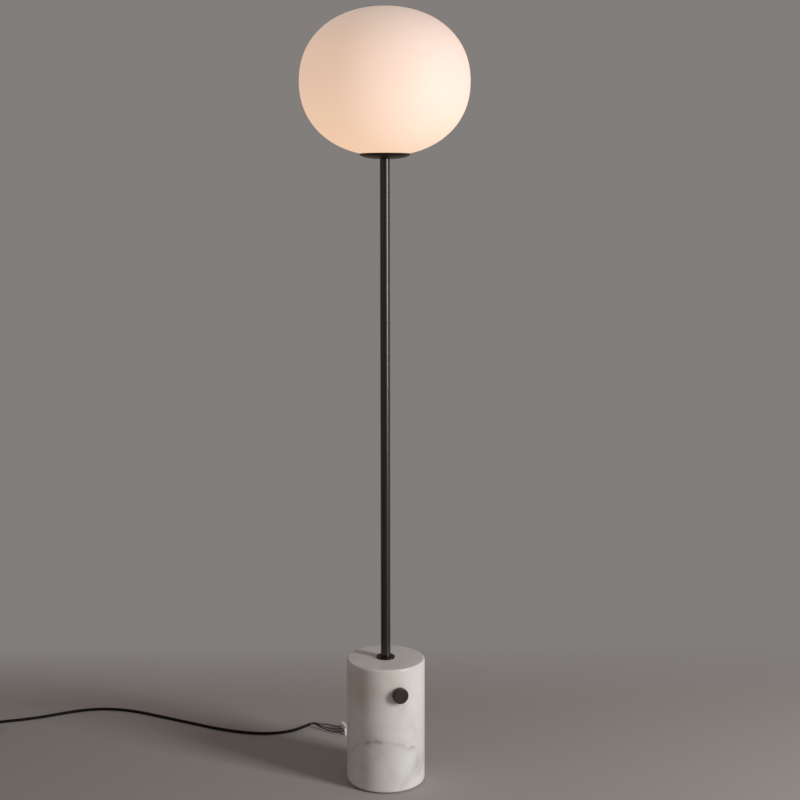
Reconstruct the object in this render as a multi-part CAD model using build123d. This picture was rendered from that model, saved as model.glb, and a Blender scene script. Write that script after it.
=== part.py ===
from build123d import *
import os
from math import acos, cos, pi, radians, sin, sqrt, tan

# Globe floor lamp: a marble base with a dimmer knob, a thin stem and an opal glass globe in a shallow dish.
# Millimetres, +Z up. The origin is on the floor, on the stem's axis. The knob points along -Y, the cord
# leaves along +Y.

# ---------------------------------------------------------------- driving dimensions
total_height = 1500.0
face_gap = 0.3                     # between pieces that come apart
running_gap = 0.06                 # radial, round a shaft
thread_gap = 0.05                  # radial, round a screwed piece
past = 1.0                         # of a cut past the face it opens
slot_width = 0.8                   # of a screw head's slot
slot_depth = 0.8

# marble base
base_diameter = 153.0
base_height = 244.0                # with its felt pad
base_top_radius = 4.0
base_foot_radius = 5.0
base_top_thickness = 30.0
cavity_diameter = 88.0
felt_thickness = 2.0
felt_inset = 2.5
plate_diameter = 116.0
plate_thickness = 4.0
plate_clearance = 0.3

# fastening of the base plate
anchor_diameter = 7.0
anchor_length = 12.0
plate_screw_diameter = 4.0
plate_screw_length = 14.0
plate_screw_head_diameter = 8.0
plate_screw_head_height = 2.2

# stem
stem_diameter = 19.0
stem_wall = 1.5
insert_length = 20.0
flange_diameter = 36.0
flange_thickness = 3.5
flange_round = 1.4
nipple_diameter = 10.0
nipple_bore = 7.2
nipple_reach = 14.0                # below the marble's top plate
nipple_setback = 2.0               # inside the end of an insert
nipple_above_holder_floor = 4.0
inner_washer_diameter = 32.0
inner_washer_thickness = 2.0
inner_nut_width = 17.0
inner_nut_height = 6.0

# dish and glass
dish_diameter = 98.0
dish_depth = 10.0
dish_wall = 1.5
dish_foot_diameter = 21.0
dish_seat_diameter = 82.0
globe_diameter = 325.0
globe_height = 279.0
globe_roundness = 2.16             # exponent of the profile, 2 is an ellipse
glass_thickness = 3.0
mouth_diameter = 73.0
mouth_rim_width = 3.5
globe_to_dish_rim = 0.6
seat_ring_width = 6.0
seat_ring_thickness = 1.0
dish_washer_diameter = 20.0
dish_washer_thickness = 1.5
dish_nut_width = 14.0
dish_nut_height = 3.5

# lampholder for a 27 mm screw cap
holder_diameter = 42.0
holder_height = 55.0
holder_cap_height = 24.0
holder_wall = 1.5
holder_floor = 3.0
holder_foot_diameter = 28.0
insulator_height = 10.0
insulator_drop = 4.0               # below the top of the cap
thread_sleeve_outer = 28.4
thread_sleeve_wall = 0.5
thread_sleeve_height = 20.0
holder_contact_diameter = 8.0
holder_contact_height = 1.5
holder_mouth_diameter = 29.6
terminal_screw_spread = 18.0
terminal_head_diameter = 5.2
terminal_head_height = 3.0
holder_shoulder_height = 12.0      # above the cap's foot
holder_skirt_height = 14.4
holder_edge = 1.0                  # bevel of the shell's mouth

# lamp bulb
bulb_diameter = 60.0
bulb_cap_diameter = 26.4
bulb_cap_height = 24.0
bulb_contact_diameter = 10.0
bulb_contact_height = 2.0
bulb_collar_foot_diameter = 27.0
bulb_collar_height = 32.0
bulb_collar_top_diameter = 51.0
bulb_collar_straight = 4.0         # before it widens
bulb_shell = 1.2
board_thickness = 1.6

# dimmer
knob_drop = 49.0                   # of its axis below the marble's top
knob_diameter = 30.0
knob_thickness = 9.0
knob_clearance = 0.5               # behind the pressed knob
knob_bevel = 1.2
knob_bore_depth = 7.0
spindle_diameter = 6.0
spindle_collar_diameter = 10.0
spindle_collar_thickness = 1.5
sleeve_diameter = 12.0
sleeve_length = 20.0
push_travel = 1.5
dimmer_width = 26.0
dimmer_depth = 20.0
dimmer_wall = 2.0
dimmer_front = 36.0                # from the stem's axis
dimmer_bush_diameter = 9.0
dimmer_bush_length = 6.5
bush_nut_width = 12.0
bush_nut_height = 2.5
bracket_thickness = 2.0
bracket_drop = 34.0
bracket_back = 20.0
carriage_depth = 7.0
carriage_height = 10.0
carriage_floor = 1.0               # behind the spindle's end
grub_screw_diameter = 3.0
grub_screw_length = 11.0
grub_hole_sink = 0.5               # into the spindle's bore
grub_socket_radius = 0.75
grub_socket_depth = 1.5
spring_wire = 0.8
spring_mean_diameter = 8.0
spring_turns = 5
spring_end_gap = 0.05

# cords
cord_diameter = 6.0
lamp_cable_diameter = 5.0
core_diameter = 2.3
cord_hole_height = 16.0            # of its axis above the floor
cord_hole_diameter = 11.0
relief_flange_diameter = 17.0
relief_flange_thickness = 2.5
relief_tail_length = 28.0
relief_tail_root = 11.0
relief_tail_tip = 7.8
relief_sleeve_length = 16.0
relief_clearance = 0.1
clamp_width = 26.0
clamp_depth = 8.0
clamp_place = 30.0                 # from the stem's axis
clamp_bar_height = 6.0
clamp_screw_diameter = 3.0
clamp_screw_spread = 17.0
clamp_screw_head_diameter = 5.7
clamp_screw_head_height = 2.0
clamp_screw_reach = 7.0            # into the lower half
earth_wire_diameter = 2.0
earth_wire_bend = 4.0
earth_wire_drop = 4.0              # below the stem's nut
inner_lead_bend = 24.0
lamp_cable_bend = 12.0
lamp_cable_exit = 4.0              # above the foot of the dimmer

earth_screw_y = 15.0               # on the bracket, behind the stem's nut
earth_ear = 8.0                    # from the screw to the wire
earth_screw_diameter = 4.0
earth_screw_head_diameter = 7.2
earth_screw_head_height = 2.4
earth_tag_diameter = 8.0
earth_tail_width = 3.2
earth_tag_thickness = 0.8

# terminal block on the floor behind the base
block_length = 22.0
block_height = 18.0
block_width = 36.0
pole_spacing = 12.0
block_face_x = -9.0                # side of the supply cores
block_centre_y = 250.0
block_tube_diameter = 6.0
block_tube_bore = 3.4
block_screw_diameter = 3.0
block_skin = 1.6                   # plastic past each end of a tube
block_barrel_width = 9.6
block_barrel_drop = 4.0            # below the top of the screw towers
block_tower_diameter = 7.4
block_screw_sink = 3.0             # of a screw below its tower's top
block_well_diameter = 4.8
block_well_depth = 3.5
block_fixing_hole_diameter = 2.4

core_start_run = 9.0
core_end_run = 7.0
core_reach = 5.5                   # into the block

# plug
plug_diameter = 36.0
plug_length = 44.0
plug_front_length = 18.0
plug_grip_diameter = 30.0
plug_relief_length = 28.0
plug_relief_root = 12.0
plug_relief_tip = 7.8
plug_back_taper = 5.0
plug_back_taper_length = 6.0
plug_shoulder_length = 4.0
plug_edge = 1.5
plug_coil_space = 80.0             # from the coil's centre to the plug's axis
plug_tail_drop = 70.0              # of the relief's tip, from the coil's centre
plug_straight_run = 18.0
pin_diameter = 4.8
pin_length = 19.0
pin_spacing = 19.0
pin_tip_round = 1.5
earth_strip_width = 6.0
earth_strip_thickness = 1.2

# coil of the put-away cord
coil_outer_radius = 42.0           # of the first half turn's centre line
coil_turn_pitch = 6.6
coil_layer_pitch = 6.6
coil_half_turns_in = 5
coil_half_turns_out = 6
coil_centre = (-752.0, 516.0)

# ---------------------------------------------------------------- places that follow from them
nipple_hole = nipple_diameter / 2 + thread_gap
marble_foot = felt_thickness
plate_top = marble_foot + plate_thickness
cavity_top = base_height - base_top_thickness
knob_height = base_height - knob_drop
flange_foot = cavity_top - inner_washer_thickness - bracket_thickness
globe_centre = total_height - globe_height / 2
knob_back = -(base_diameter / 2 + push_travel + knob_clearance)
knob_front = knob_back - knob_thickness
dimmer_back = -dimmer_front + dimmer_depth
cord_radius = cord_diameter / 2
relief_end = base_diameter / 2 + relief_flange_thickness + relief_tail_length
plate_screw_circle = (plate_diameter + cavity_diameter) / 4


def globe_surface(radius, half_width, half_height):
    """Height of the globe's underside at a distance from the axis."""
    return globe_centre - half_height * (1 - (radius / half_width) ** globe_roundness) ** (1 / globe_roundness)


glass_above_rim = globe_surface(dish_diameter / 2 - dish_wall, globe_diameter / 2, globe_height / 2)
dish_rim = glass_above_rim - globe_to_dish_rim
dish_foot = dish_rim - dish_depth
dish_seat_drop = (dish_depth - dish_wall) * sqrt(
    1 - (dish_seat_diameter / (dish_diameter - 2 * dish_wall)) ** 2)
dish_seat = dish_rim - dish_seat_drop
seat_ring_top = dish_seat + seat_ring_thickness
globe_foot = seat_ring_top + face_gap
dish_nut_foot = dish_seat + dish_washer_thickness
holder_foot = dish_nut_foot + dish_nut_height
holder_top = holder_foot + holder_height
insulator_foot = holder_foot + holder_cap_height - insulator_drop
insulator_top = insulator_foot + insulator_height
bulb_foot = insulator_top + holder_contact_height + face_gap
bulb_cap_foot = bulb_foot + bulb_contact_height
bulb_cap_top = bulb_cap_foot + bulb_cap_height
bulb_collar_top = bulb_cap_top + bulb_collar_height


# ---------------------------------------------------------------- helpers
def turned(profile):
    """Solid turned about the stem's axis from (radius, height) points."""
    return revolve(make_face(Plane.XZ * Polyline(*profile, close=True)), Axis.Z)


def turned_along_y(profile, height, x=0.0):
    """Solid turned about a level axis along Y from (radius, y) points."""
    outline = [(x + radius, y, height) for radius, y in profile]
    return revolve(make_face(Polyline(*outline, close=True)), Axis((x, 0, height), (0, 1, 0)))


def rod(radius, foot, top, x=0.0, y=0.0):
    """Upright round bar between two heights."""
    return Pos(x, y, (foot + top) / 2) * Cylinder(radius, top - foot)


def rod_y(radius, y_low, y_high, height, x=0.0):
    """Round bar along Y."""
    return Pos(x, (y_low + y_high) / 2, height) * Rot(90, 0, 0) * Cylinder(radius, y_high - y_low)


def rod_x(radius, x_low, x_high, height, y=0.0):
    """Round bar along X."""
    return Pos((x_low + x_high) / 2, y, height) * Rot(0, 90, 0) * Cylinder(radius, x_high - x_low)


def brick(low, high):
    """Box between two corners."""
    size = [b - a for a, b in zip(low, high)]
    middle = [(a + b) / 2 for a, b in zip(low, high)]
    return Pos(*middle) * Box(*size)


def hex_nut(width, bore_radius, foot, top):
    """Upright hexagon nut."""
    hexagon = RegularPolygon(width / 2, 6, major_radius=False)
    return Pos(0, 0, foot) * extrude(hexagon, top - foot) - rod(bore_radius, foot - past, top + past)


def round_the_axis(shape_at, count, radius, first_angle=30.0):
    """Copies of a small solid on a circle about the stem's axis."""
    angles = [radians(first_angle + step * 360 / count) for step in range(count)]
    return [shape_at(radius * cos(angle), radius * sin(angle)) for angle in angles]


# ---------------------------------------------------------------- marble base
def marble_base():
    radius = base_diameter / 2
    body = rod(radius, marble_foot, base_height)
    body = fillet(body.edges().sort_by(Axis.Z)[-1], base_top_radius)
    body = fillet(body.edges().sort_by(Axis.Z)[0], base_foot_radius)
    body -= rod(cavity_diameter / 2, marble_foot - past, cavity_top)
    body -= rod(plate_diameter / 2 + plate_clearance, marble_foot - past, plate_top)
    body -= rod(nipple_diameter / 2 + face_gap, cavity_top - past, base_height + past)
    body -= rod_y(sleeve_diameter / 2, -radius - past, 0, knob_height)
    body -= rod_y(cord_hole_diameter / 2, 0, radius + past, cord_hole_height)
    anchor_top = plate_top + anchor_length
    for hole in round_the_axis(lambda x, y: rod(anchor_diameter / 2, plate_top - past, anchor_top, x, y),
                               3, plate_screw_circle):
        body -= hole
    return body


def felt_pad():
    return rod(base_diameter / 2 - base_foot_radius - felt_inset, 0, felt_thickness)


def plate_screw(x, y):
    head = Pos(x, y, marble_foot + plate_screw_head_height / 2) * Cone(
        plate_screw_head_diameter / 2, plate_screw_diameter / 2, plate_screw_head_height)
    slot = Pos(x, y, marble_foot) * Box(plate_screw_head_diameter - 2 * slot_depth, slot_width, 2 * slot_depth)
    shank = rod(plate_screw_diameter / 2, marble_foot + plate_screw_head_height / 2,
                marble_foot + plate_screw_length, x, y)
    return head + shank - slot


def base_plate():
    plate = rod(plate_diameter / 2, marble_foot, plate_top)
    for x, y in round_the_axis(lambda x, y: (x, y), 3, plate_screw_circle):
        plate -= Pos(x, y, marble_foot + plate_screw_head_height / 2) * Cone(
            plate_screw_head_diameter / 2, plate_screw_diameter / 2, plate_screw_head_height)
        plate -= rod(plate_screw_diameter / 2 + thread_gap, marble_foot, plate_top + past, x, y)
    return plate


def base_anchor(x, y):
    top = plate_top + anchor_length
    sleeve = rod(anchor_diameter / 2, plate_top, top, x, y)
    return sleeve - rod(plate_screw_diameter / 2 + thread_gap, plate_top - past, top + past, x, y)


# ---------------------------------------------------------------- stem and its clamping
def ring(outer, inner, foot, top):
    return rod(outer, foot, top) - rod(inner, foot - past, top + past)


def stem_tube():
    return ring(stem_diameter / 2, stem_diameter / 2 - stem_wall, base_height, dish_foot)


def stem_flange():
    body = rod(flange_diameter / 2, base_height, base_height + flange_thickness)
    body = fillet(body.edges().sort_by(Axis.Z)[-1], flange_round)
    return body - rod(stem_diameter / 2 + thread_gap, base_height - past, base_height + flange_thickness + past)


def stem_insert(foot):
    return ring(stem_diameter / 2 - stem_wall, nipple_hole, foot, foot + insert_length)


def nipple(foot, top):
    return ring(nipple_diameter / 2, nipple_bore / 2, foot, top)


# ---------------------------------------------------------------- dish, seat ring and their fixing
def side(radius, height):
    """Point of a profile that is turned about the stem's axis."""
    return (radius, 0, height)


def dish():
    rim_radius = dish_diameter / 2
    inner_radius = rim_radius - dish_wall
    foot_radius = dish_foot_diameter / 2
    seat_radius = dish_seat_diameter / 2
    inner_mid_radius = (seat_radius + inner_radius) / 2
    inner_mid_drop = (dish_depth - dish_wall) * sqrt(1 - (inner_mid_radius / inner_radius) ** 2)
    outer = Plane.XZ * EllipticalCenterArc((foot_radius, dish_rim), rim_radius - foot_radius, dish_depth,
                                           start_angle=270, arc_size=90)
    outline = [
        Line(side(nipple_hole, dish_foot), side(foot_radius, dish_foot)),
        outer,
        Line(side(rim_radius, dish_rim), side(inner_radius, dish_rim)),
        ThreePointArc(side(inner_radius, dish_rim), side(inner_mid_radius, dish_rim - inner_mid_drop),
                      side(seat_radius, dish_seat)),
        Line(side(seat_radius, dish_seat), side(nipple_hole, dish_seat)),
        Line(side(nipple_hole, dish_seat), side(nipple_hole, dish_foot)),
    ]
    return revolve(make_face(outline), Axis.Z)


def seat_ring():
    outer = dish_seat_diameter / 2 - face_gap
    return ring(outer, outer - seat_ring_width, dish_seat, seat_ring_top)


# ---------------------------------------------------------------- lampholder
def holder_cap():
    foot = holder_foot_diameter / 2
    top = holder_diameter / 2 - holder_wall - thread_gap
    inner = top - holder_wall
    shoulder = holder_foot + holder_shoulder_height
    return turned([
        (nipple_hole, holder_foot), (foot, holder_foot), (top, shoulder), (top, holder_foot + holder_cap_height),
        (inner, holder_foot + holder_cap_height), (inner, shoulder),
        (foot - holder_wall, holder_foot + holder_floor), (nipple_hole, holder_foot + holder_floor),
    ])


def holder_shell():
    outer = holder_diameter / 2
    inner = outer - holder_wall
    skirt = holder_foot + holder_skirt_height
    lip = holder_top - holder_floor
    mouth = holder_mouth_diameter / 2
    return turned([(inner, skirt), (outer, skirt), (outer, holder_top - holder_edge),
                   (outer - holder_edge, holder_top), (mouth, holder_top), (mouth, lip), (inner, lip)])


def holder_insulator():
    radius = holder_diameter / 2 - 2 * holder_wall - 2 * thread_gap
    return rod(radius, insulator_foot, insulator_top)


def holder_thread():
    outer = thread_sleeve_outer / 2
    return ring(outer, outer - thread_sleeve_wall, insulator_top, insulator_top + thread_sleeve_height)


def holder_contact():
    return rod(holder_contact_diameter / 2, insulator_top, insulator_top + holder_contact_height)


def holder_terminals():
    reach = terminal_screw_spread / 2
    screws = []
    for x in (-reach, reach):
        foot = insulator_foot - terminal_head_height
        head = rod(terminal_head_diameter / 2, foot, insulator_foot, x)
        screws.append(head - Pos(x, 0, foot) * Box(terminal_head_diameter + past, slot_width, 2 * slot_depth))
    return screws


# ---------------------------------------------------------------- lamp bulb
def bulb_cap():
    return rod(bulb_cap_diameter / 2, bulb_cap_foot, bulb_cap_top)


def bulb_contact():
    return rod(bulb_contact_diameter / 2, bulb_foot, bulb_cap_foot)


def bulb_collar():
    foot = bulb_collar_foot_diameter / 2
    top = bulb_collar_top_diameter / 2
    rim = top - bulb_shell
    body = turned([(0, bulb_cap_top), (foot, bulb_cap_top), (foot, bulb_cap_top + bulb_collar_straight),
                   (top, bulb_collar_top), (0, bulb_collar_top)])
    return body - rod(rim, bulb_collar_top - board_thickness, bulb_collar_top + past)


def bulb_board():
    radius = bulb_collar_top_diameter / 2 - bulb_shell - face_gap
    return rod(radius, bulb_collar_top - board_thickness, bulb_collar_top)


def bulb_diffuser():
    outer = bulb_diameter / 2
    rim = bulb_collar_top_diameter / 2
    centre = bulb_collar_top + sqrt(outer ** 2 - rim ** 2)
    ball = Pos(0, 0, centre) * (Sphere(outer) - Sphere(outer - bulb_shell))
    return ball - brick((-outer, -outer, centre - outer - past), (outer, outer, bulb_collar_top))


# ---------------------------------------------------------------- opal globe
def globe_point(half_width, half_height, angle):
    """Point of a rounded ellipse at an angle above the globe's widest level."""
    radius = half_width * max(cos(angle), 0) ** (2 / globe_roundness)
    rise = half_height * abs(sin(angle)) ** (2 / globe_roundness)
    return side(radius, globe_centre + (rise if angle > 0 else -rise))


def globe_curve(half_width, half_height, mouth_radius, points=15):
    """Smooth profile from the crown down to the mouth."""
    mouth_angle = acos((mouth_radius / half_width) ** (globe_roundness / 2))
    turn = pi / 2 + mouth_angle
    angles = [pi / 2 - turn * step / (points - 1) for step in range(points)]
    outline = [globe_point(half_width, half_height, angle) for angle in angles]
    before = globe_point(half_width, half_height, 0.001 - mouth_angle)
    slope = (outline[-1][0] - before[0], 0, outline[-1][2] - before[2])
    return Spline(*outline, tangents=[(1, 0, 0), slope])


def globe_glass():
    """Blown shell, in two halves that meet at its widest level."""
    rim_inner = mouth_diameter / 2
    rim_outer = rim_inner + mouth_rim_width
    outer = globe_curve(globe_diameter / 2, globe_height / 2, rim_outer)
    inner = globe_curve(globe_diameter / 2 - glass_thickness, globe_height / 2 - glass_thickness, rim_inner)
    outline = [
        outer,
        Line(outer @ 1, side(rim_outer, globe_foot)),
        Line(side(rim_outer, globe_foot), side(rim_inner, globe_foot)),
        Line(side(rim_inner, globe_foot), inner @ 1),
        inner,
        Line(inner @ 0, outer @ 0),
    ]
    shell = revolve(make_face(outline), Axis.Z)
    reach = globe_diameter
    lower = brick((-reach, -reach, 0), (reach, reach, globe_centre))
    return [shell & lower, shell - lower]


# ---------------------------------------------------------------- dimmer behind the knob
dimmer_low = knob_height - dimmer_width / 2
dimmer_high = knob_height + dimmer_width / 2
half_dimmer = dimmer_width / 2
shaft_hole = spindle_diameter / 2 + running_gap
collar_front = -dimmer_front + dimmer_wall + face_gap
carriage_front = collar_front + spindle_collar_thickness + face_gap
carriage_back = carriage_front + carriage_depth


def dimmer_bracket():
    front = -dimmer_front - bracket_thickness
    flange_top = flange_foot + bracket_thickness
    flange = brick((-half_dimmer, front, flange_foot), (half_dimmer, bracket_back, flange_top))
    leg = brick((-half_dimmer, front, flange_foot - bracket_drop), (half_dimmer, -dimmer_front, flange_foot))
    body = flange + leg - rod(nipple_hole, flange_foot - past, cavity_top)
    body -= rod(earth_screw_diameter / 2 + thread_gap, flange_foot - past, cavity_top, 0, earth_screw_y)
    return body - rod_y(dimmer_bush_diameter / 2 + thread_gap, front - past, -dimmer_front + past, knob_height)


def dimmer_housing():
    box = brick((-half_dimmer, -dimmer_front, dimmer_low), (half_dimmer, dimmer_back - dimmer_wall, dimmer_high))
    room = half_dimmer - dimmer_wall
    box -= brick((-room, -dimmer_front + dimmer_wall, dimmer_low + dimmer_wall),
                 (room, dimmer_back, dimmer_high - dimmer_wall))
    box += rod_y(dimmer_bush_diameter / 2, -dimmer_front - dimmer_bush_length, -dimmer_front, knob_height)
    return box - rod_y(shaft_hole, -dimmer_front - dimmer_bush_length - past, -dimmer_front + dimmer_wall + past,
                       knob_height)


def dimmer_cover():
    return brick((-half_dimmer, dimmer_back - dimmer_wall, dimmer_low), (half_dimmer, dimmer_back, dimmer_high))


def bush_nut():
    hexagon = RegularPolygon(bush_nut_width / 2, 6, major_radius=False)
    front = -dimmer_front - bracket_thickness
    nut = Pos(0, front, knob_height) * Rot(90, 0, 0) * extrude(hexagon, bush_nut_height)
    hole = dimmer_bush_diameter / 2 + thread_gap
    return nut - rod_y(hole, front - bush_nut_height - past, front + past, knob_height)


def push_carriage():
    room = half_dimmer - dimmer_wall - face_gap
    block = brick((-room, carriage_front, knob_height - carriage_height / 2),
                  (room, carriage_back, knob_height + carriage_height / 2))
    return block - rod_y(shaft_hole, carriage_front - past, carriage_back - carriage_floor, knob_height)


def return_spring():
    """Flat-ended compression spring between the carriage and the cover."""
    end_space = spring_wire / 2 + spring_end_gap
    start = carriage_back + end_space
    length = dimmer_back - dimmer_wall - end_space - start
    coil = Helix(length / spring_turns, length, spring_mean_diameter / 2)
    wire = sweep(Plane(coil @ 0, z_dir=coil % 0) * Circle(spring_wire / 2), path=coil)
    return Pos(0, start, knob_height) * Rot(-90, 0, 0) * wire


def spindle():
    end = carriage_back - carriage_floor - face_gap
    bar = rod_y(spindle_diameter / 2, knob_back - knob_bore_depth, end, knob_height)
    return bar + rod_y(spindle_collar_diameter / 2, collar_front, collar_front + spindle_collar_thickness,
                       knob_height)


def spindle_sleeve():
    outer_end = -sqrt((base_diameter / 2) ** 2 - (sleeve_diameter / 2) ** 2)
    sleeve = rod_y(sleeve_diameter / 2, outer_end, outer_end + sleeve_length, knob_height)
    return sleeve - rod_y(shaft_hole, outer_end - past, outer_end + sleeve_length + past, knob_height)


def dimmer_knob():
    radius = knob_diameter / 2
    body = turned_along_y([(0, knob_back), (radius, knob_back), (radius, knob_front + knob_bevel),
                           (radius - knob_bevel, knob_front), (0, knob_front)], knob_height)
    body -= rod_y(spindle_diameter / 2, knob_back - knob_bore_depth, knob_back + past, knob_height)
    middle = (knob_back + knob_front) / 2
    return body - rod(grub_screw_diameter / 2, knob_height - radius - past,
                      knob_height - spindle_diameter / 2 + grub_hole_sink, 0, middle)


def grub_screw():
    middle = (knob_back + knob_front) / 2
    tip = knob_height - spindle_diameter / 2
    screw = rod(grub_screw_diameter / 2, tip - grub_screw_length, tip, 0, middle)
    return screw - Pos(0, middle, tip - grub_screw_length) * extrude(
        RegularPolygon(grub_socket_radius, 6), grub_socket_depth)


# ---------------------------------------------------------------- cords
def tube(route, diameter, name):
    """Round cord along straight runs joined by the largest arcs that the runs allow."""
    points = [Vector(*point) for point in route]
    runs = [(b - a) for a, b in zip(points, points[1:])]
    radii = []
    for before, after in zip(runs, runs[1:]):
        turn = before.get_angle(after)
        radii.append(0.45 * min(before.length, after.length) / tan(radians(turn) / 2))
    path = FilletPolyline(*points, radius=radii)
    body = sweep(Plane(path @ 0, z_dir=path % 0) * Circle(diameter / 2), path=path)
    share = body.volume / (pi * diameter ** 2 / 4 * path.length)
    print(f"{name}: length {path.length:.0f}, radii {[round(r) for r in radii]}, volume share {share:.4f}")
    return body



def inner_lead():
    """Mains lead inside the base, from the strain relief's tip up to the dimmer."""
    y = -dimmer_front + dimmer_depth / 2
    path = FilletPolyline((0, relief_end, cord_hole_height), (0, y, cord_hole_height), (0, y, dimmer_low),
                          radius=inner_lead_bend)
    return sweep(Plane(path @ 0, z_dir=path % 0) * Circle(cord_radius), path=path)


def lamp_cable():
    """Cable from the dimmer through the hollow nipples and the stem to the lampholder."""
    low = dimmer_low + lamp_cable_exit
    path = FilletPolyline((0, dimmer_back, low), (0, 0, low), (0, 0, insulator_foot), radius=lamp_cable_bend)
    return sweep(Plane(path @ 0, z_dir=path % 0) * Circle(lamp_cable_diameter / 2), path=path)


def strain_relief():
    """Rubber sleeve in the marble with a flange and a tapered tail round the cord."""
    wall = base_diameter / 2
    flange_end = wall + relief_flange_thickness
    sleeve = cord_hole_diameter / 2 - relief_clearance
    bore = cord_radius + thread_gap
    return turned_along_y([
        (bore, wall - relief_sleeve_length), (sleeve, wall - relief_sleeve_length), (sleeve, wall),
        (relief_flange_diameter / 2, wall), (relief_flange_diameter / 2, flange_end),
        (relief_tail_root / 2, flange_end), (relief_tail_tip / 2, relief_end), (bore, relief_end),
    ], cord_hole_height)


def cord_clamp():
    """Lower half of the clamp on the base plate."""
    half = clamp_width / 2
    block = brick((-half, clamp_place - clamp_depth / 2, plate_top), (half, clamp_place + clamp_depth / 2,
                                                                      cord_hole_height))
    block -= rod_y(cord_radius + thread_gap, 0, relief_end, cord_hole_height)
    for x in (-clamp_screw_spread / 2, clamp_screw_spread / 2):
        block -= rod(clamp_screw_diameter / 2, cord_hole_height - clamp_screw_reach,
                     cord_hole_height + past, x, clamp_place)
    return block


def clamp_bar():
    half = clamp_width / 2
    top = cord_hole_height + clamp_bar_height
    bar = brick((-half, clamp_place - clamp_depth / 2, cord_hole_height),
                (half, clamp_place + clamp_depth / 2, top))
    bar -= rod_y(cord_radius + thread_gap, 0, relief_end, cord_hole_height)
    for x in (-clamp_screw_spread / 2, clamp_screw_spread / 2):
        bar -= rod(clamp_screw_diameter / 2 + thread_gap, cord_hole_height - past, top + past, x, clamp_place)
    return bar


def clamp_screws():
    top = cord_hole_height + clamp_bar_height
    screws = []
    for x in (-clamp_screw_spread / 2, clamp_screw_spread / 2):
        screw = rod(clamp_screw_diameter / 2, cord_hole_height - clamp_screw_reach, top, x, clamp_place)
        screw += rod(clamp_screw_head_diameter / 2, top, top + clamp_screw_head_height, x, clamp_place)
        screws.append(screw - Pos(x, clamp_place, top + clamp_screw_head_height) * Box(
            clamp_screw_head_diameter + past, slot_width, 2 * slot_depth))
    return screws


# The short lead from the base to the terminal block turns back to the block's far side.
lead_route = [
    (0, relief_end, cord_hole_height), (0, 121, cord_hole_height), (4, 137, 13.0), (13, 150, 8.5),
    (26, 160, 4.6), (42, 167, 3.1), (60, 171, cord_radius), (79, 183, cord_radius), (91, 203, cord_radius),
    (92, 227, cord_radius), (83, 246, 3.2), (66, 257, 4.6),
]

# The supply cord lies in loose curves from near the block to the coil.
supply_route = [(-67, 296, 9.5), (-89, 291, 5.5), (-113, 288, 3.3)] + [(x, y, cord_radius) for x, y in [
    (-140, 288), (-168, 294), (-198, 309), (-229, 331), (-261, 360), (-299, 402), (-336, 442),
    (-370, 480), (-404, 516), (-441, 544), (-480, 561), (-520, 566), (-562, 562), (-604, 555.5), (-648, 554.5),
    (-694, coil_centre[1] + coil_outer_radius),
    (coil_centre[0] + cord_diameter, coil_centre[1] + coil_outer_radius),
]]

# Three cores fan out from each jacket end to the three poles of the block.
supply_core_bends = [
    [(-47, 291, 13.0), (-34, 281, 13.5), (-22, 267, 11.0)],
    [(-50, 287, 9.0), (-37, 268, 7.5), (-25, 254, 8.0)],
    [(-49, 283, 6.0), (-37, 263, 3.4), (-25, 244, 5.0)],
]
lead_core_bends = [
    [(46, 265, 7.5), (32, 265, 8.8)],
    [(47, 260, 5.8), (35, 253, 7.5)],
    [(48, 262, 3.4), (38, 254, 3.6), (29, 242, 6.0)],
]
core_offsets = [(0, 1.17, 0.68), (0, -1.17, 0.68), (0, 0, -1.35)]

def cores(cord_route, bends, face_x, into):
    """Three cores from a cord's first or last point to the block's face, where `into` is +1 or -1 along X."""
    end, inside = (Vector(*point) for point in cord_route)
    heading = (end - inside).normalized()
    solids = []
    for place, (offset, bend) in enumerate(zip(core_offsets, bends)):
        start = end + Vector(*offset) - heading * heading.dot(Vector(*offset))
        pole = block_centre_y + (1 - place) * pole_spacing
        route = [tuple(start), tuple(start + heading * core_start_run)] + bend
        route += [(face_x - into * core_end_run, pole, block_height / 2),
                  (face_x + into * core_reach, pole, block_height / 2)]
        solids.append(tube(route, core_diameter, f"core {place + 1}"))
    return solids


# ---------------------------------------------------------------- terminal block
block_low = block_face_x
block_high = block_face_x + block_length
block_poles = [block_centre_y + step * pole_spacing for step in (1, 0, -1)]
block_screw_places = [block_low + block_length / 4, block_high - block_length / 4]
tube_low = block_low + block_skin
tube_high = block_high - block_skin
tube_height = block_height / 2
screw_foot = tube_height + core_diameter / 2
screw_top = block_height - block_screw_sink


def terminal_housing():
    half_width = block_width / 2
    body = brick((block_low, block_centre_y - half_width, 0),
                 (block_high, block_centre_y + half_width, tube_height))
    barrel = block_barrel_width / 2
    for y in block_poles:
        body += brick((block_low, y - barrel, 0), (block_high, y + barrel, block_height - block_barrel_drop))
        for x in block_screw_places:
            body += rod(block_tower_diameter / 2, tube_height, block_height, x, y)
    for y in block_poles:
        body -= rod_x(block_tube_diameter / 2 + thread_gap, tube_low, tube_high, tube_height, y)
        body -= rod_x(block_tube_bore / 2, block_low - past, block_high + past, tube_height, y)
        for x in block_screw_places:
            body -= rod(block_screw_diameter / 2 + thread_gap, tube_height, block_height + past, x, y)
            body -= rod(block_well_diameter / 2, block_height - block_well_depth, block_height + past, x, y)
    middle = (block_low + block_high) / 2
    for y in (block_centre_y - pole_spacing / 2, block_centre_y + pole_spacing / 2):
        body -= rod(block_fixing_hole_diameter / 2, -past, block_height + past, middle, y)
    return body


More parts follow.
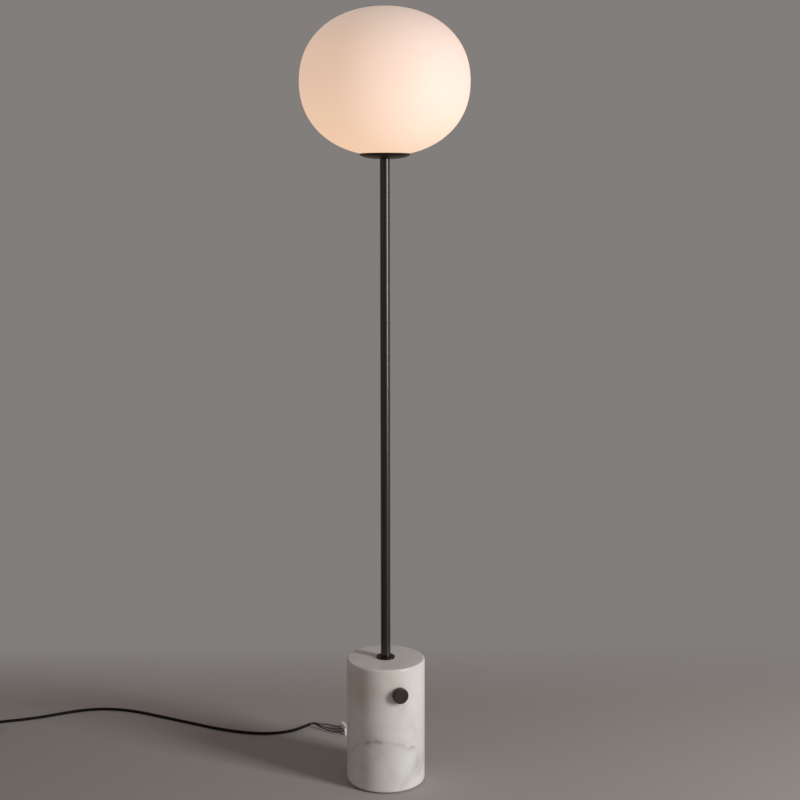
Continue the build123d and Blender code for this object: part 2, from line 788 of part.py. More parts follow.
def terminal_tubes():
    tubes = []
    for y in block_poles:
        bar = rod_x(block_tube_diameter / 2, tube_low, tube_high, tube_height, y)
        bar -= rod_x(block_tube_bore / 2, tube_low - past, tube_high + past, tube_height, y)
        for x in block_screw_places:
            bar -= rod(block_screw_diameter / 2 + thread_gap, tube_height, block_height, x, y)
        tubes.append(bar)
    return tubes


def terminal_screws():
    screws = []
    for y in block_poles:
        for x in block_screw_places:
            slot = Pos(x, y, screw_top) * Box(block_screw_diameter + past, slot_width, 2 * slot_depth)
            screws.append(rod(block_screw_diameter / 2, screw_foot, screw_top, x, y) - slot)
    return screws


# ---------------------------------------------------------------- coil of the put-away cord
def coil_edges():
    """Half turns that spiral in on the floor, climb one layer and spiral out above."""
    side_of = 1
    radius = coil_outer_radius
    place = Vector(0, radius, cord_radius)
    heading = Vector(-1, 0, 0)
    edges = [Line(place - heading * cord_diameter, place)]

    def half_turn():
        nonlocal place, side_of
        end = place - Vector(0, 2 * radius * side_of, 0)
        middle = Vector(-side_of * radius, (place.Y + end.Y) / 2, place.Z)
        edges.append(ThreePointArc(place, middle, end))
        place = end
        side_of = -side_of

    for _ in range(coil_half_turns_in):
        half_turn()
        radius -= coil_turn_pitch / 2
    end = place + Vector(0, -2 * radius * side_of, coil_layer_pitch)
    reach = sqrt(radius ** 2 + (coil_layer_pitch / 2) ** 2)
    middle = Vector(-side_of * reach, (place.Y + end.Y) / 2, place.Z + coil_layer_pitch / 2)
    first = TangentArc(place, middle, tangent=(-side_of, 0, 0))
    edges += [first, TangentArc(middle, end, tangent=first % 1)]
    place = end
    side_of = -side_of
    for _ in range(coil_half_turns_out):
        radius += coil_turn_pitch / 2
        half_turn()
    edges.append(Line(place, place + heading * cord_diameter))
    return edges


def least_gap(edges, steps=40):
    """Smallest space between turns, measured on points of the centre line."""
    points = []
    travel = 0.0
    for edge in edges:
        for step in range(steps):
            points.append((travel + edge.length * step / steps, edge @ (step / steps)))
        travel += edge.length
    least = 1e9
    for index, (along, point) in enumerate(points):
        for later, other in points[index + 1:]:
            if later - along > 5 * cord_diameter:
                least = min(least, (other - point).length)
    return least - cord_diameter


def supply_coil():
    edges = coil_edges()
    path = Wire(edges)
    body = sweep(Plane(path @ 0, z_dir=path % 0) * Circle(cord_radius), path=path)
    share = body.volume / (pi * cord_radius ** 2 * path.length)
    print(f"supply_coil: length {path.length:.0f}, least gap {least_gap(edges):.2f}, volume share {share:.4f}")
    return Pos(*coil_centre) * body


# ---------------------------------------------------------------- plug beside the coil
plug_axis = plug_diameter / 2
plug_x = coil_centre[0] - plug_coil_space
plug_tail_y = coil_centre[1] - plug_tail_drop
tail_route = [
    (coil_centre[0] + x, coil_centre[1] + y, z) for x, y, z in [
        (-cord_diameter, coil_outer_radius, cord_radius + coil_layer_pitch),
        (-24, coil_outer_radius, cord_radius + coil_layer_pitch), (-44, 38, 6.6), (-62, 25, 3.6), (-74, 6, 4.2),
        (-79.5, -14, 8.6), (-80.3, -33, 14.6),
    ]
] + [(plug_x, plug_tail_y + plug_straight_run, plug_axis), (plug_x, plug_tail_y, plug_axis)]
plug_back = plug_tail_y - plug_relief_length
plug_front = plug_back - plug_length


def plug_relief():
    return turned_along_y([(0, plug_tail_y), (plug_relief_tip / 2, plug_tail_y),
                           (plug_relief_root / 2, plug_back), (0, plug_back)], plug_axis, plug_x)


def plug_body():
    rim = plug_diameter / 2
    grip = plug_grip_diameter / 2
    shoulder = plug_front + plug_front_length
    body = turned_along_y([
        (0, plug_back), (grip - plug_back_taper, plug_back), (grip, plug_back - plug_back_taper_length),
        (grip, shoulder + plug_shoulder_length), (rim, shoulder), (rim, plug_front + plug_edge),
        (rim - plug_edge, plug_front), (0, plug_front),
    ], plug_axis, plug_x)
    for upward in (-1, 1):
        notch_z = plug_axis + upward * (rim - earth_strip_thickness / 2)
        body -= Pos(plug_x, (plug_front + shoulder) / 2, notch_z) * Box(
            earth_strip_width, plug_front_length + 2 * plug_shoulder_length, earth_strip_thickness)
    return body


def plug_earth_strips():
    rim = plug_diameter / 2
    strips = []
    for upward in (-1, 1):
        strip_z = plug_axis + upward * (rim - earth_strip_thickness / 2 - face_gap)
        strips.append(Pos(plug_x, plug_front + plug_front_length / 2, strip_z) * Box(
            earth_strip_width, plug_front_length, earth_strip_thickness - 2 * face_gap))
    return strips


def plug_pins():
    pins = []
    for x in (plug_x - pin_spacing / 2, plug_x + pin_spacing / 2):
        pin = rod_y(pin_diameter / 2, plug_front - pin_length, plug_front, plug_axis, x)
        pins.append(fillet(pin.edges().sort_by(Axis.Y)[0], pin_tip_round))
    return pins


# ---------------------------------------------------------------- earth of the metal parts
def earth_tag():
    foot = flange_foot - earth_tag_thickness
    half_tail = earth_tail_width / 2
    tag = rod(earth_tag_diameter / 2, foot, flange_foot, 0, earth_screw_y)
    tag += brick((0, earth_screw_y - half_tail, foot),
                 (earth_ear + half_tail, earth_screw_y + half_tail, flange_foot))
    return tag - rod(earth_screw_diameter / 2 + thread_gap, foot - past, flange_foot + past, 0, earth_screw_y)


def earth_screw():
    foot = flange_foot - earth_tag_thickness
    head_foot = foot - earth_screw_head_height
    head = rod(earth_screw_head_diameter / 2, head_foot, foot, 0, earth_screw_y)
    screw = head + rod(earth_screw_diameter / 2, foot, flange_foot + bracket_thickness, 0, earth_screw_y)
    return screw - Pos(0, earth_screw_y, head_foot) * Box(
        earth_screw_head_diameter + past, slot_width, 2 * slot_depth)


def earth_wire():
    level = flange_foot - inner_nut_height - earth_wire_drop
    path = FilletPolyline((earth_ear, dimmer_back, level), (earth_ear, earth_screw_y, level),
                          (earth_ear, earth_screw_y, flange_foot - earth_tag_thickness),
                          radius=earth_wire_bend)
    return sweep(Plane(path @ 0, z_dir=path % 0) * Circle(earth_wire_diameter / 2), path=path)


# ---------------------------------------------------------------- all pieces
pieces = {
    "marble_base": marble_base(),
    "felt_pad": felt_pad(),
    "base_plate": base_plate(),
    "base_plate_screws": round_the_axis(plate_screw, 3, plate_screw_circle),
    "base_anchors": round_the_axis(base_anchor, 3, plate_screw_circle),
    "stem_tube": stem_tube(),
    "stem_flange": stem_flange(),
    "stem_lower_insert": stem_insert(base_height),
    "stem_upper_insert": stem_insert(dish_foot - insert_length),
    "lower_nipple": nipple(cavity_top - nipple_reach, base_height + insert_length - nipple_setback),
    "upper_nipple": nipple(dish_foot - insert_length + nipple_setback,
                           holder_foot + holder_floor + nipple_above_holder_floor),
    "inner_washer": ring(inner_washer_diameter / 2, nipple_hole, cavity_top - inner_washer_thickness,
                         cavity_top),
    "inner_nut": hex_nut(inner_nut_width, nipple_hole, flange_foot - inner_nut_height, flange_foot),
    "dish": dish(),
    "dish_washer": ring(dish_washer_diameter / 2, nipple_hole, dish_seat, dish_nut_foot),
    "dish_nut": hex_nut(dish_nut_width, nipple_hole, dish_nut_foot, holder_foot),
    "seat_ring": seat_ring(),
    "globe_glass": globe_glass(),
    "holder_cap": holder_cap(),
    "holder_shell": holder_shell(),
    "holder_insulator": holder_insulator(),
    "holder_thread": holder_thread(),
    "holder_contact": holder_contact(),
    "holder_terminals": holder_terminals(),
    "bulb_cap": bulb_cap(),
    "bulb_contact": bulb_contact(),
    "bulb_collar": bulb_collar(),
    "bulb_board": bulb_board(),
    "bulb_diffuser": bulb_diffuser(),
    "dimmer_bracket": dimmer_bracket(),
    "dimmer_housing": dimmer_housing(),
    "dimmer_cover": dimmer_cover(),
    "bush_nut": bush_nut(),
    "push_carriage": push_carriage(),
    "return_spring": return_spring(),
    "spindle": spindle(),
    "spindle_sleeve": spindle_sleeve(),
    "dimmer_knob": dimmer_knob(),
    "grub_screw": grub_screw(),
    "inner_lead": inner_lead(),
    "lamp_cable": lamp_cable(),
    "earth_tag": earth_tag(),
    "earth_screw": earth_screw(),
    "earth_wire": earth_wire(),
    "strain_relief": strain_relief(),
    "cord_clamp": cord_clamp(),
    "clamp_bar": clamp_bar(),
    "clamp_screws": clamp_screws(),
    "lead_cord": tube(lead_route, cord_diameter, "lead_cord"),
    "lead_cores": cores((lead_route[-1], lead_route[-2]), lead_core_bends, block_high, -1),
    "terminal_housing": terminal_housing(),
    "terminal_tubes": terminal_tubes(),
    "terminal_screws": terminal_screws(),
    "supply_cores": cores((supply_route[0], supply_route[1]), supply_core_bends, block_low, 1),
    "supply_cord": tube(supply_route, cord_diameter, "supply_cord"),
    "supply_coil": supply_coil(),
    "supply_tail": tube(tail_route, cord_diameter, "supply_tail"),
    "plug_relief": plug_relief(),
    "plug_body": plug_body(),
    "plug_fittings": plug_pins() + plug_earth_strips(),
}

os.makedirs("parts", exist_ok=True)
for name, piece in pieces.items():
    shape = Compound(piece) if isinstance(piece, list) else piece
    export_step(shape, f"parts/{name}.step")
print(f"{len(pieces)} pieces written")
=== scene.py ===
# %% [markdown]
# A globe floor lamp. A block of white marble carries a thin dark bronze tube, and an opal glass globe rests
# in a shallow dish at the top. The solid model comes in first, at its real size, and everything after it only
# dresses that model: finer meshes where the eye rests, and a finish for every piece.

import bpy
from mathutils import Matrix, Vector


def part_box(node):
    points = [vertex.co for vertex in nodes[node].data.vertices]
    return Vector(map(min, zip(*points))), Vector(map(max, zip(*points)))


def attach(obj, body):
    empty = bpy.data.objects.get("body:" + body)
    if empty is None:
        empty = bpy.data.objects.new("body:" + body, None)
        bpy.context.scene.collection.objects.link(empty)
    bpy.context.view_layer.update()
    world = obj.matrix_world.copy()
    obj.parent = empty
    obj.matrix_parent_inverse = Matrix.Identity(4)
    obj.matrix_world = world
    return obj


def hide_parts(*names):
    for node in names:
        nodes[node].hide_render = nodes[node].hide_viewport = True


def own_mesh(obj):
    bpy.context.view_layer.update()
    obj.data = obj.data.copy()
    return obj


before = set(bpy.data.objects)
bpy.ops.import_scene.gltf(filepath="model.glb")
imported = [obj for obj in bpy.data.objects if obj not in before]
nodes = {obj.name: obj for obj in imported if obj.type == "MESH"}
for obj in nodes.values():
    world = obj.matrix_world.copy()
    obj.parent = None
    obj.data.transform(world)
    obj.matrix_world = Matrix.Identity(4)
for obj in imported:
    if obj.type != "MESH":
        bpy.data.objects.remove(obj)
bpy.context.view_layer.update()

# %% [markdown]
# The camera stands where the photograph was taken from: some two and a half metres away, a little above the
# middle of the lamp, tilted down by less than five degrees and twenty degrees to the left of the knob. The
# picture was cropped off centre, so the lens is shifted instead of being turned, which keeps the perspective
# of the photograph. It also hangs a tenth of a degree out of level.

# %% Camera
import bpy
import math
from mathutils import Matrix, Vector

MM = 0.001
IMAGE_WIDTH = 800
SENSOR = 36.0
focal_pixels = 1349
optical_centre = (385.1, 315.0)
camera_distance = 2.584
camera_height = 1.121
camera_pitch = math.radians(4.513)
camera_lean = math.radians(-0.095)
view_turn = math.radians(19.9)


def add_to_scene(thing):
    bpy.context.scene.collection.objects.link(thing)


def from_view(right, away, up):
    """Point given to the right, away and up in the photograph, in the lamp's own frame."""
    x = right * math.cos(view_turn) + away * math.sin(view_turn)
    y = away * math.cos(view_turn) - right * math.sin(view_turn)
    return (x, y, up)


far_end_of_view = 50
lens = bpy.data.cameras.new("photo_view")
lens.sensor_width = SENSOR
lens.lens = focal_pixels / IMAGE_WIDTH * SENSOR
lens.shift_x = 0.5 - optical_centre[0] / IMAGE_WIDTH
lens.shift_y = optical_centre[1] / IMAGE_WIDTH - 0.5
lens.clip_end = far_end_of_view
camera = bpy.data.objects.new("photo_view", lens)
camera.location = from_view(0, -camera_distance, camera_height)
turned = Matrix.Rotation(-view_turn, 3, "Z")
tilted = Matrix.Rotation(math.pi / 2 - camera_pitch, 3, "X")
leaning = Matrix.Rotation(camera_lean, 3, "Z")
camera.rotation_euler = (turned @ tilted @ leaning).to_euler()
add_to_scene(camera)
bpy.context.scene.camera = camera
bpy.context.scene.view_settings.view_transform = "Standard"
print("lens", round(lens.lens, 1), "mm, shift", round(lens.shift_x, 4), round(lens.shift_y, 4))

# %% [markdown]
# The lamp stands on a plain pale floor. A wall behind it would be in the way of anyone who walks round it, so
# there is none: the air itself has the wall's grey, and the floor fades into it, a little way behind the lamp
# and further off on the other sides. Only rays that look do so. Light still finds a whole floor.

# %% Floor
FLOOR = (0.475, 0.452, 0.443, 1)
floor_reach = 6.0
fade_behind = (0.40, 0.80)
fade_around = (1.3, 2.4)


def main_shader(material):
    return material.node_tree.nodes["Principled BSDF"]


def finish(name, colour, roughness, metallic=0.0):
    """New node material with its main shader."""
    material = bpy.data.materials.new(name)
    material.use_nodes = True
    shader = main_shader(material)
    shader.inputs["Base Color"].default_value = colour
    shader.inputs["Roughness"].default_value = roughness
    shader.inputs["Metallic"].default_value = metallic
    return material


def round_floor(steps=96):
    turns = [2 * math.pi * i / steps for i in range(steps)]
    rim = [(floor_reach * math.cos(turn), floor_reach * math.sin(turn), 0) for turn in turns]
    mesh = bpy.data.meshes.new("studio_floor")
    mesh.from_pydata(rim, [], [list(range(steps))])
    mesh.materials.append(finish("floor_paper", FLOOR, 0.9))
    piece = bpy.data.objects.new("studio_floor", mesh)
    add_to_scene(piece)
    return piece


floor = round_floor()
print("floor reaches", floor_reach, "m")

# %% [markdown]
# One tall soft lamp stands to the right like a window. Its height matters: a thin upright tube only mirrors
# what is at its own level, so a lamp that hangs high would leave the stem without its bright line. Being low,
# it also throws the long shadow to the left. A weak lamp on that side and dim, warm air keep the shade open.

# %% Lights
key_place = from_view(2.48, -1.56, 1.25)
key_power = 66
key_size = (0.65, 1.9)
fill_place = from_view(-2.6, -1.9, 1.5)
fill_power = 2.5
fill_size = (1.4, 1.4)
aim = from_view(0, 0, 0.75)


def soft_lamp(name, place, power, size, colour):
    data = bpy.data.lights.new(name, "AREA")
    data.energy = power
    data.shape = "RECTANGLE"
    data.size, data.size_y = size
    data.color = colour
    lamp = bpy.data.objects.new(name, data)
    lamp.location = place
    direction = [a - b for a, b in zip(aim, place)]
    yaw = math.atan2(direction[1], direction[0]) - math.pi / 2
    pitch = math.atan2(direction[2], math.hypot(direction[0], direction[1])) + math.pi / 2
    lamp.rotation_euler = (pitch, 0, yaw)
    add_to_scene(lamp)


soft_lamp("key", key_place, key_power, key_size, (1.0, 0.985, 0.965))
soft_lamp("fill", fill_place, fill_power, fill_size, (1.0, 0.9, 0.86))
print("key lamp at", [round(v, 2) for v in key_place])

# %% [markdown]
# The air around the lamp does two jobs. Its warm light fills the shade, and a ray that looks past the lamp
# finds the wall's grey in it instead. Light Path tells the two kinds of ray apart.

# %% Air
AIR = (1.0, 0.87, 0.815, 1)
WALL = (0.222, 0.207, 0.199, 1)
air_strength = 0.158


def looking(tree):
    """1 for rays that look at something, straight, in a mirror or through glass, and 0 for the others."""
    path = tree.nodes.new("ShaderNodeLightPath")
    total = path.outputs["Is Camera Ray"]
    for ray in ("Is Glossy Ray", "Is Transmission Ray"):
        added = tree.nodes.new("ShaderNodeMath")
        added.use_clamp = True
        tree.links.new(total, added.inputs[0])
        tree.links.new(path.outputs[ray], added.inputs[1])
        total = added.outputs[0]
    return total


world = bpy.data.worlds.new("studio_air")
world.use_nodes = True
air = world.node_tree.nodes["Background"]
air.inputs["Color"].default_value = AIR
air.inputs["Strength"].default_value = air_strength
wall = world.node_tree.nodes.new("ShaderNodeBackground")
wall.inputs["Color"].default_value = WALL
blend = world.node_tree.nodes.new("ShaderNodeMixShader")
world.node_tree.links.new(looking(world.node_tree), blend.inputs[0])
world.node_tree.links.new(air.outputs[0], blend.inputs[1])
world.node_tree.links.new(wall.outputs[0], blend.inputs[2])
world.node_tree.links.new(blend.outputs[0], world.node_tree.nodes["World Output"].inputs["Surface"])
bpy.context.scene.world = world
print("air strength:", air_strength)

# %% [markdown]
# The flex comes early, because its loops decide how much floor the model takes. Its route is the list of
# points that the solid tube follows, as the control points of one smooth spline. A spline of order three
# touches the middle of every run, which gives the soft line of a real cable.

# %% Route of the supply flex
cord_radius = 3.0
relief_tip = (0, 107, 16)
coil_centre = (-752.0, 516.0)
coil_outer_radius = 42.0
coil_turn_pitch = 6.6
coil_layer_pitch = 6.6
half_turns_in = 5
half_turns_out = 6
plug_x = -832.0
plug_tail_y = 446.0
plug_axis = 18.0
coil_entry_y = coil_centre[1] + coil_outer_radius
supply_route = [(-67, 296, 9.5), (-89, 291, 5.5), (-113, 288, 3.3)] + [(x, y, cord_radius) for x, y in [
    (-140, 288), (-168, 294), (-198, 309), (-229, 331), (-261, 360), (-299, 402), (-336, 442),
    (-370, 480), (-404, 516), (-441, 544), (-480, 561), (-520, 566), (-562, 562), (-604, 555.5),
    (-648, 554.5), (-694, coil_entry_y), (coil_centre[0] + 6, coil_entry_y),
]]
print("points on the floor:", len(supply_route))

# %% [markdown]
# The rest of the flex is put away as a neat coil. Each half turn has its own radius, smaller by half a pitch
# than the one before, until the spiral turns round, climbs one layer and comes out again. Eight control
# points a half turn, set a little outside the line, make the spline follow the true arc.

# %% Route of the coil
POINTS_A_HALF_TURN = 8


def half_turn_points(radius, centre_y, side, low, high):
    """Control points of half a turn that starts on the +Y side (side 1) or the -Y side (side -1)."""
    outside = radius / math.cos(math.pi / 2 / POINTS_A_HALF_TURN)
    points = []
    for step in range(POINTS_A_HALF_TURN):
        share = (step + 0.5) / POINTS_A_HALF_TURN
        angle = math.pi * share
        points.append((coil_centre[0] - side * outside * math.sin(angle),
                       coil_centre[1] + centre_y + side * outside * math.cos(angle),
                       low + (high - low) * share))
    return points


def coil_points():
    radius, side, y = coil_outer_radius, 1, coil_outer_radius
    low, high = cord_radius, cord_radius + coil_layer_pitch
    points = []
    for turn in range(half_turns_in + 1 + half_turns_out):
        climbing = turn == half_turns_in
        start = low if turn <= half_turns_in else high
        points += half_turn_points(radius, y - side * radius, side, start, high if climbing else start)
        y -= 2 * side * radius
        side = -side
        radius += -coil_turn_pitch / 2 if turn < half_turns_in else coil_turn_pitch / 2
    return points


tail_route = [(coil_centre[0] + x, coil_centre[1] + y, z) for x, y, z in [
    (-24, coil_outer_radius, cord_radius + coil_layer_pitch), (-44, 38, 6.6), (-62, 25, 3.6), (-74, 6, 4.2),
    (-79.5, -14, 8.6), (-80.3, -33, 14.6),
]] + [(plug_x, plug_tail_y + 18, plug_axis), (plug_x, plug_tail_y, plug_axis)]
print("coil control points:", len(coil_points()))

# %% [markdown]
# A curve with a round bevel is a cable in Blender. Its thickness is set as the radius of its points, with a
# bevel of one metre for them to scale, because Blender adds that radius when it measures a curve's box. The
# order and the end points of a spline can only be set once it has its points.

# %% A cable from a list of points
STEPS_AROUND = 6
STEPS_A_POINT = 6
SPLINE_ORDER = 3


def cable(name, route, diameter, body="stand"):
    """Round cable along millimetre control points."""
    data = bpy.data.curves.new(name, "CURVE")
    data.dimensions = "3D"
    data.bevel_depth = 1.0
    data.bevel_resolution = STEPS_AROUND
    data.use_fill_caps = True
    data.resolution_u = STEPS_A_POINT
    spline = data.splines.new("NURBS")
    spline.points.add(len(route) - 1)
    for point, place in zip(spline.points, route):
        point.co = (*(v * MM for v in place), 1)
        point.radius = diameter / 2 * MM
    spline.order_u = SPLINE_ORDER
    spline.use_endpoint_u = True
    spline.use_smooth = True
    piece = bpy.data.objects.new(name, data)
    add_to_scene(piece)
    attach(piece, body)
    return piece


cord_diameter = 2 * cord_radius
supply_flex = cable("supply_flex", supply_route + coil_points() + tail_route, cord_diameter)
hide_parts("supply_cord", "supply_coil", "supply_tail")

lead_route = [
    relief_tip, (0, 121, 16), (4, 137, 13.0), (13, 150, 8.5), (26, 160, 4.6), (42, 167, 3.1),
    (60, 171, cord_radius), (79, 183, cord_radius), (91, 203, cord_radius), (92, 227, cord_radius),
    (83, 246, 3.2), (66, 257, 4.6),
]
lead_flex = cable("lead_flex", lead_route, cord_diameter)
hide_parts("lead_cord")
print("supply flex points:", len(supply_flex.data.splines[0].points))

# %% [markdown]
# Where the outer sheath of a flex ends, its three insulated cores come out and fan to the three poles of the
# terminal block. They are thin and springy, so the photograph shows them standing off the floor in low arcs.

# %% Route of a core
core_diameter = 2.3
core_start_run = 9.0
core_end_run = 7.0
core_reach = 5.5
block_low, block_high = -9.0, 13.0
block_centre_y = 250.0
pole_spacing = 12.0
pole_height = 9.0
core_offsets = [(0, 1.17, 0.68), (0, -1.17, 0.68), (0, 0, -1.35)]
supply_core_bends = [
    [(-50, 288, 10.5), (-36, 277, 12.0), (-24, 266, 11.5)],
    [(-50, 286, 8.5), (-37, 267, 8.0), (-24, 252, 8.5)],
    [(-50, 283, 6.5), (-37, 262, 4.5), (-25, 244, 5.5)],
]
lead_core_bends = [
    [(46, 265, 7.5), (32, 265, 8.8)],
    [(47, 260, 5.8), (35, 253, 7.5)],
    [(48, 262, 3.4), (38, 254, 3.6), (29, 242, 6.0)],
]


def heading_of(end, inside):
    """Unit direction in which a sheath points at its end."""
    step = [a - b for a, b in zip(end, inside)]
    length = math.dist(end, inside)
    return [v / length for v in step]


def core_route(end, inside, offset, bend, pole, face_x, into):
    """Points of one core, from the sheath's end through its bend into its pole."""
    heading = heading_of(end, inside)
    along = sum(a * b for a, b in zip(heading, offset))
    start = [e + o - along * h for e, o, h in zip(end, offset, heading)]
    second = [s + core_start_run * h for s, h in zip(start, heading)]
    before = (face_x - into * core_end_run, pole, pole_height)
    inside_block = (face_x + into * core_reach, pole, pole_height)
    return [start, second] + bend + [before, inside_block]


def route_length(piece):
    """Length of a cable's own line."""
    line = piece.copy()
    line.data = piece.data.copy()
    line.data.bevel_depth = 0
    mesh = bpy.data.meshes.new_from_object(line)
    places = [v.co.copy() for v in mesh.vertices]
    return sum((b - a).length for a, b in zip(places, places[1:]))


print("supply flex measured:", round(route_length(supply_flex), 3))

# %% [markdown]
# Both sides of the block get three cores each, in one loop. Each is a cable of its own, because it hangs
# free, and its length is what its line measures.

# %% Cores on both sides of the terminal block
cores = []
for side, ends, bends, face_x, into in (
        ("supply", (supply_route[0], supply_route[1]), supply_core_bends, block_low, 1),
        ("lead", (lead_route[-1], lead_route[-2]), lead_core_bends, block_high, -1)):
    for place, (offset, bend) in enumerate(zip(core_offsets, bends)):
        pole = block_centre_y + (1 - place) * pole_spacing
        route = core_route(*ends, offset, bend, pole, face_x, into)
        core = cable(f"{side}_core_{place + 1}", route, core_diameter)
        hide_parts(f"{side}_cores")
        route_length(core)
        cores.append(core)
print("cores:", [(c.name, round(route_length(c), 3)) for c in cores])

# %% [markdown]
# Nearly everything else on this lamp is round, so one small tool does most of the modelling: it turns a
# closed outline about an axis. Corners that a hand would feel get a real radius in the outline, and what the
# lathe makes is shaded smooth, except where its faces meet at a clear angle.

# %% Round corners and smooth shading
EDGE_ANGLE = math.radians(32)


def arc(centre, radius, start, end, steps=8):
    """Points of a round corner, with angles in degrees from the outward direction."""
    angles = [math.radians(start + (end - start) * i / steps) for i in range(steps + 1)]
    return [(centre[0] + radius * math.cos(a), centre[1] + radius * math.sin(a)) for a in angles]


def show(name, mesh, body="stand"):
    """Object from a mesh, smooth but for its sharp corners, on its body."""
    mesh.shade_smooth()
    mesh.set_sharp_from_angle(angle=EDGE_ANGLE)
    piece = bpy.data.objects.new(name, mesh)
    add_to_scene(piece)
    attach(piece, body)
    return piece


print("a round corner:", [(round(r, 1), round(h, 1)) for r, h in arc((0, 0), 4, 0, 90, 2)])

# %% [markdown]
# The lathe itself builds a ring of points for each point of the outline, and one point where the outline
# meets the axis. Faces join each ring to the next, and the last to the first, so the skin is closed.

# %% A lathe
ON_AXIS = 1e-6


def lathe_mesh(name, outline, steps=160):
    """Closed skin turned about the upright axis from (radius, height) millimetre points."""
    verts, rings = [], []
    for radius, height in outline:
        if radius < ON_AXIS:
            rings.append([len(verts)] * steps)
            verts.append((0, 0, height * MM))
            continue
        rings.append([len(verts) + i for i in range(steps)])
        for i in range(steps):
            angle = 2 * math.pi * i / steps
            verts.append((radius * math.cos(angle) * MM, radius * math.sin(angle) * MM, height * MM))
    faces = []
    for low, high in zip(rings, rings[1:] + rings[:1]):
        for i in range(steps):
            j = (i + 1) % steps
            corners = list(dict.fromkeys([low[i], low[j], high[j], high[i]]))
            if len(corners) > 2:
                faces.append(corners)
    mesh = bpy.data.meshes.new(name)
    mesh.from_pydata(verts, [], faces)
    return mesh


def lathe(name, outline, body="stand", steps=160):
    return show(name, lathe_mesh(name, outline, steps), body)


def lathe_y(name, outline, centre, body="stand", steps=96):
    """As lathe, about a level axis along Y through a millimetre centre (x, z), from (radius, y) points."""
    mesh = lathe_mesh(name, outline, steps)
    for vert in mesh.vertices:
        x, y, z = vert.co
        vert.co = (centre[0] * MM + x, z, centre[1] * MM - y)
    return show(name, mesh, body)


print("lathe ready")

# %% [markdown]
# Some holes cross the lathe's axis, and a turned outline can't hold them. A Boolean modifier cuts them with a
# tool mesh, and its result is kept as the new mesh, so that the modifier can go.

# %% Carving tools
import bmesh


def carve(piece, tool):
    """Cut the shape of a mesh out of a piece, for good."""
    cutter = bpy.data.objects.new("cutter", tool)
    add_to_scene(cutter)
    cut = piece.modifiers.new("carve", "BOOLEAN")
    cut.operation = "DIFFERENCE"
    cut.object = cutter
    bpy.context.view_layer.update()
    result = bpy.data.meshes.new_from_object(piece.evaluated_get(bpy.context.evaluated_depsgraph_get()))
    piece.modifiers.remove(cut)
    piece.data = result
    bpy.data.objects.remove(cutter)


def drill(piece, start, end, radius, sides=64):
    """Round hole between two millimetre points."""
    start, end = (Vector(point) * MM for point in (start, end))
    form = bmesh.new()
    bmesh.ops.create_cone(form, cap_ends=True, segments=sides, radius1=radius * MM, radius2=radius * MM,
                          depth=(end - start).length)
    turn = (end - start).to_track_quat("Z", "Y").to_matrix().to_4x4()
    form.transform(Matrix.Translation((start + end) / 2) @ turn)
    tool = bpy.data.meshes.new("drill")
    form.to_mesh(tool)
    form.free()
    carve(piece, tool)


print("drill ready")

# %% [markdown]
# The base is one turned block of marble with a softly broken top edge and a rounder foot. Inside it is bored
# out for the dimmer. Two cross holes take the knob's spindle and the flex.

# %% Marble block
base_radius = 76.5
base_height = 244.0
felt_height = 2.0
top_round = 4.0
foot_round = 5.0
cavity_radius = 44.0
cavity_top = 214.0
rebate_radius = 58.3
rebate_top = 6.0
stem_hole = 5.3
knob_height = 195.0
sleeve_radius = 6.0
cord_height = 16.0
cord_hole = 5.5
past = 5.0

marble_outline = (
    arc((base_radius - foot_round, felt_height + foot_round), foot_round, -90, 0)
    + arc((base_radius - top_round, base_height - top_round), top_round, 0, 90)
    + [(stem_hole, base_height), (stem_hole, cavity_top), (cavity_radius, cavity_top),
       (cavity_radius, rebate_top), (rebate_radius, rebate_top), (rebate_radius, felt_height)]
)
marble = lathe("marble_block", marble_outline)
drill(marble, (0, -base_radius - past, knob_height), (0, past - cavity_radius, knob_height), sleeve_radius)
drill(marble, (0, cavity_radius - past, cord_height), (0, base_radius + past, cord_height), cord_hole)
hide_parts("marble_base")
print("marble faces:", len(marble.data.polygons))

# %% [markdown]
# A felt disc under the block keeps the floor from being scratched. Its edge is a little soft.

# %% Felt
felt_radius = 69.0
felt_edge = 0.6
felt = lathe("felt_disc", [(0, 0)] + arc((felt_radius - felt_edge, felt_edge), felt_edge, -90, 0, 4)
             + arc((felt_radius - felt_edge, felt_height - felt_edge), felt_edge, 0, 90, 4)
             + [(0, felt_height)])
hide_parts("felt_pad")
print("felt radius:", felt_radius)

# %% [markdown]
# The metal parts are thin sheet and tube. Light runs along their edges, so each edge gets a small radius, and
# the foot flange is rounded over like a pressed cap.

# %% Stem, flange and dish
stem_radius = 9.5
stem_bore = 8.0
dish_rim = 1225.02
dish_depth = 10.0
dish_foot = dish_rim - dish_depth
dish_seat = 1220.73
dish_radius = 49.0
dish_wall = 1.5
foot_radius = 10.5
seat_radius = 41.0
flange_radius = 18.0
flange_height = 3.5
flange_round = 1.4
flange_gap = 0.05
flange_lip = 0.4
dish_bore = 5.05

stem = lathe("stem", [(stem_radius, base_height), (stem_radius, dish_foot), (stem_bore, dish_foot),
                      (stem_bore, base_height)], steps=96)
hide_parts("stem_tube")
flange_top = base_height + flange_height
flange = lathe("foot_flange", [(flange_radius, base_height)]
               + arc((flange_radius - flange_round, flange_top - flange_round), flange_round, 0, 90)
               + arc((stem_radius + flange_gap + flange_lip, flange_top - flange_lip), flange_lip, 90, 180, 4)
               + [(stem_radius + flange_gap, base_height)], steps=128)
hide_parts("stem_flange")


def bowl(radius, depth, start_radius, steps=28):
    """Quarter of an ellipse from the foot out to the rim."""
    width = radius - start_radius
    angles = [math.pi / 2 * i / steps for i in range(steps + 1)]
    return [(start_radius + width * math.sin(a), dish_rim - depth * math.cos(a)) for a in angles]


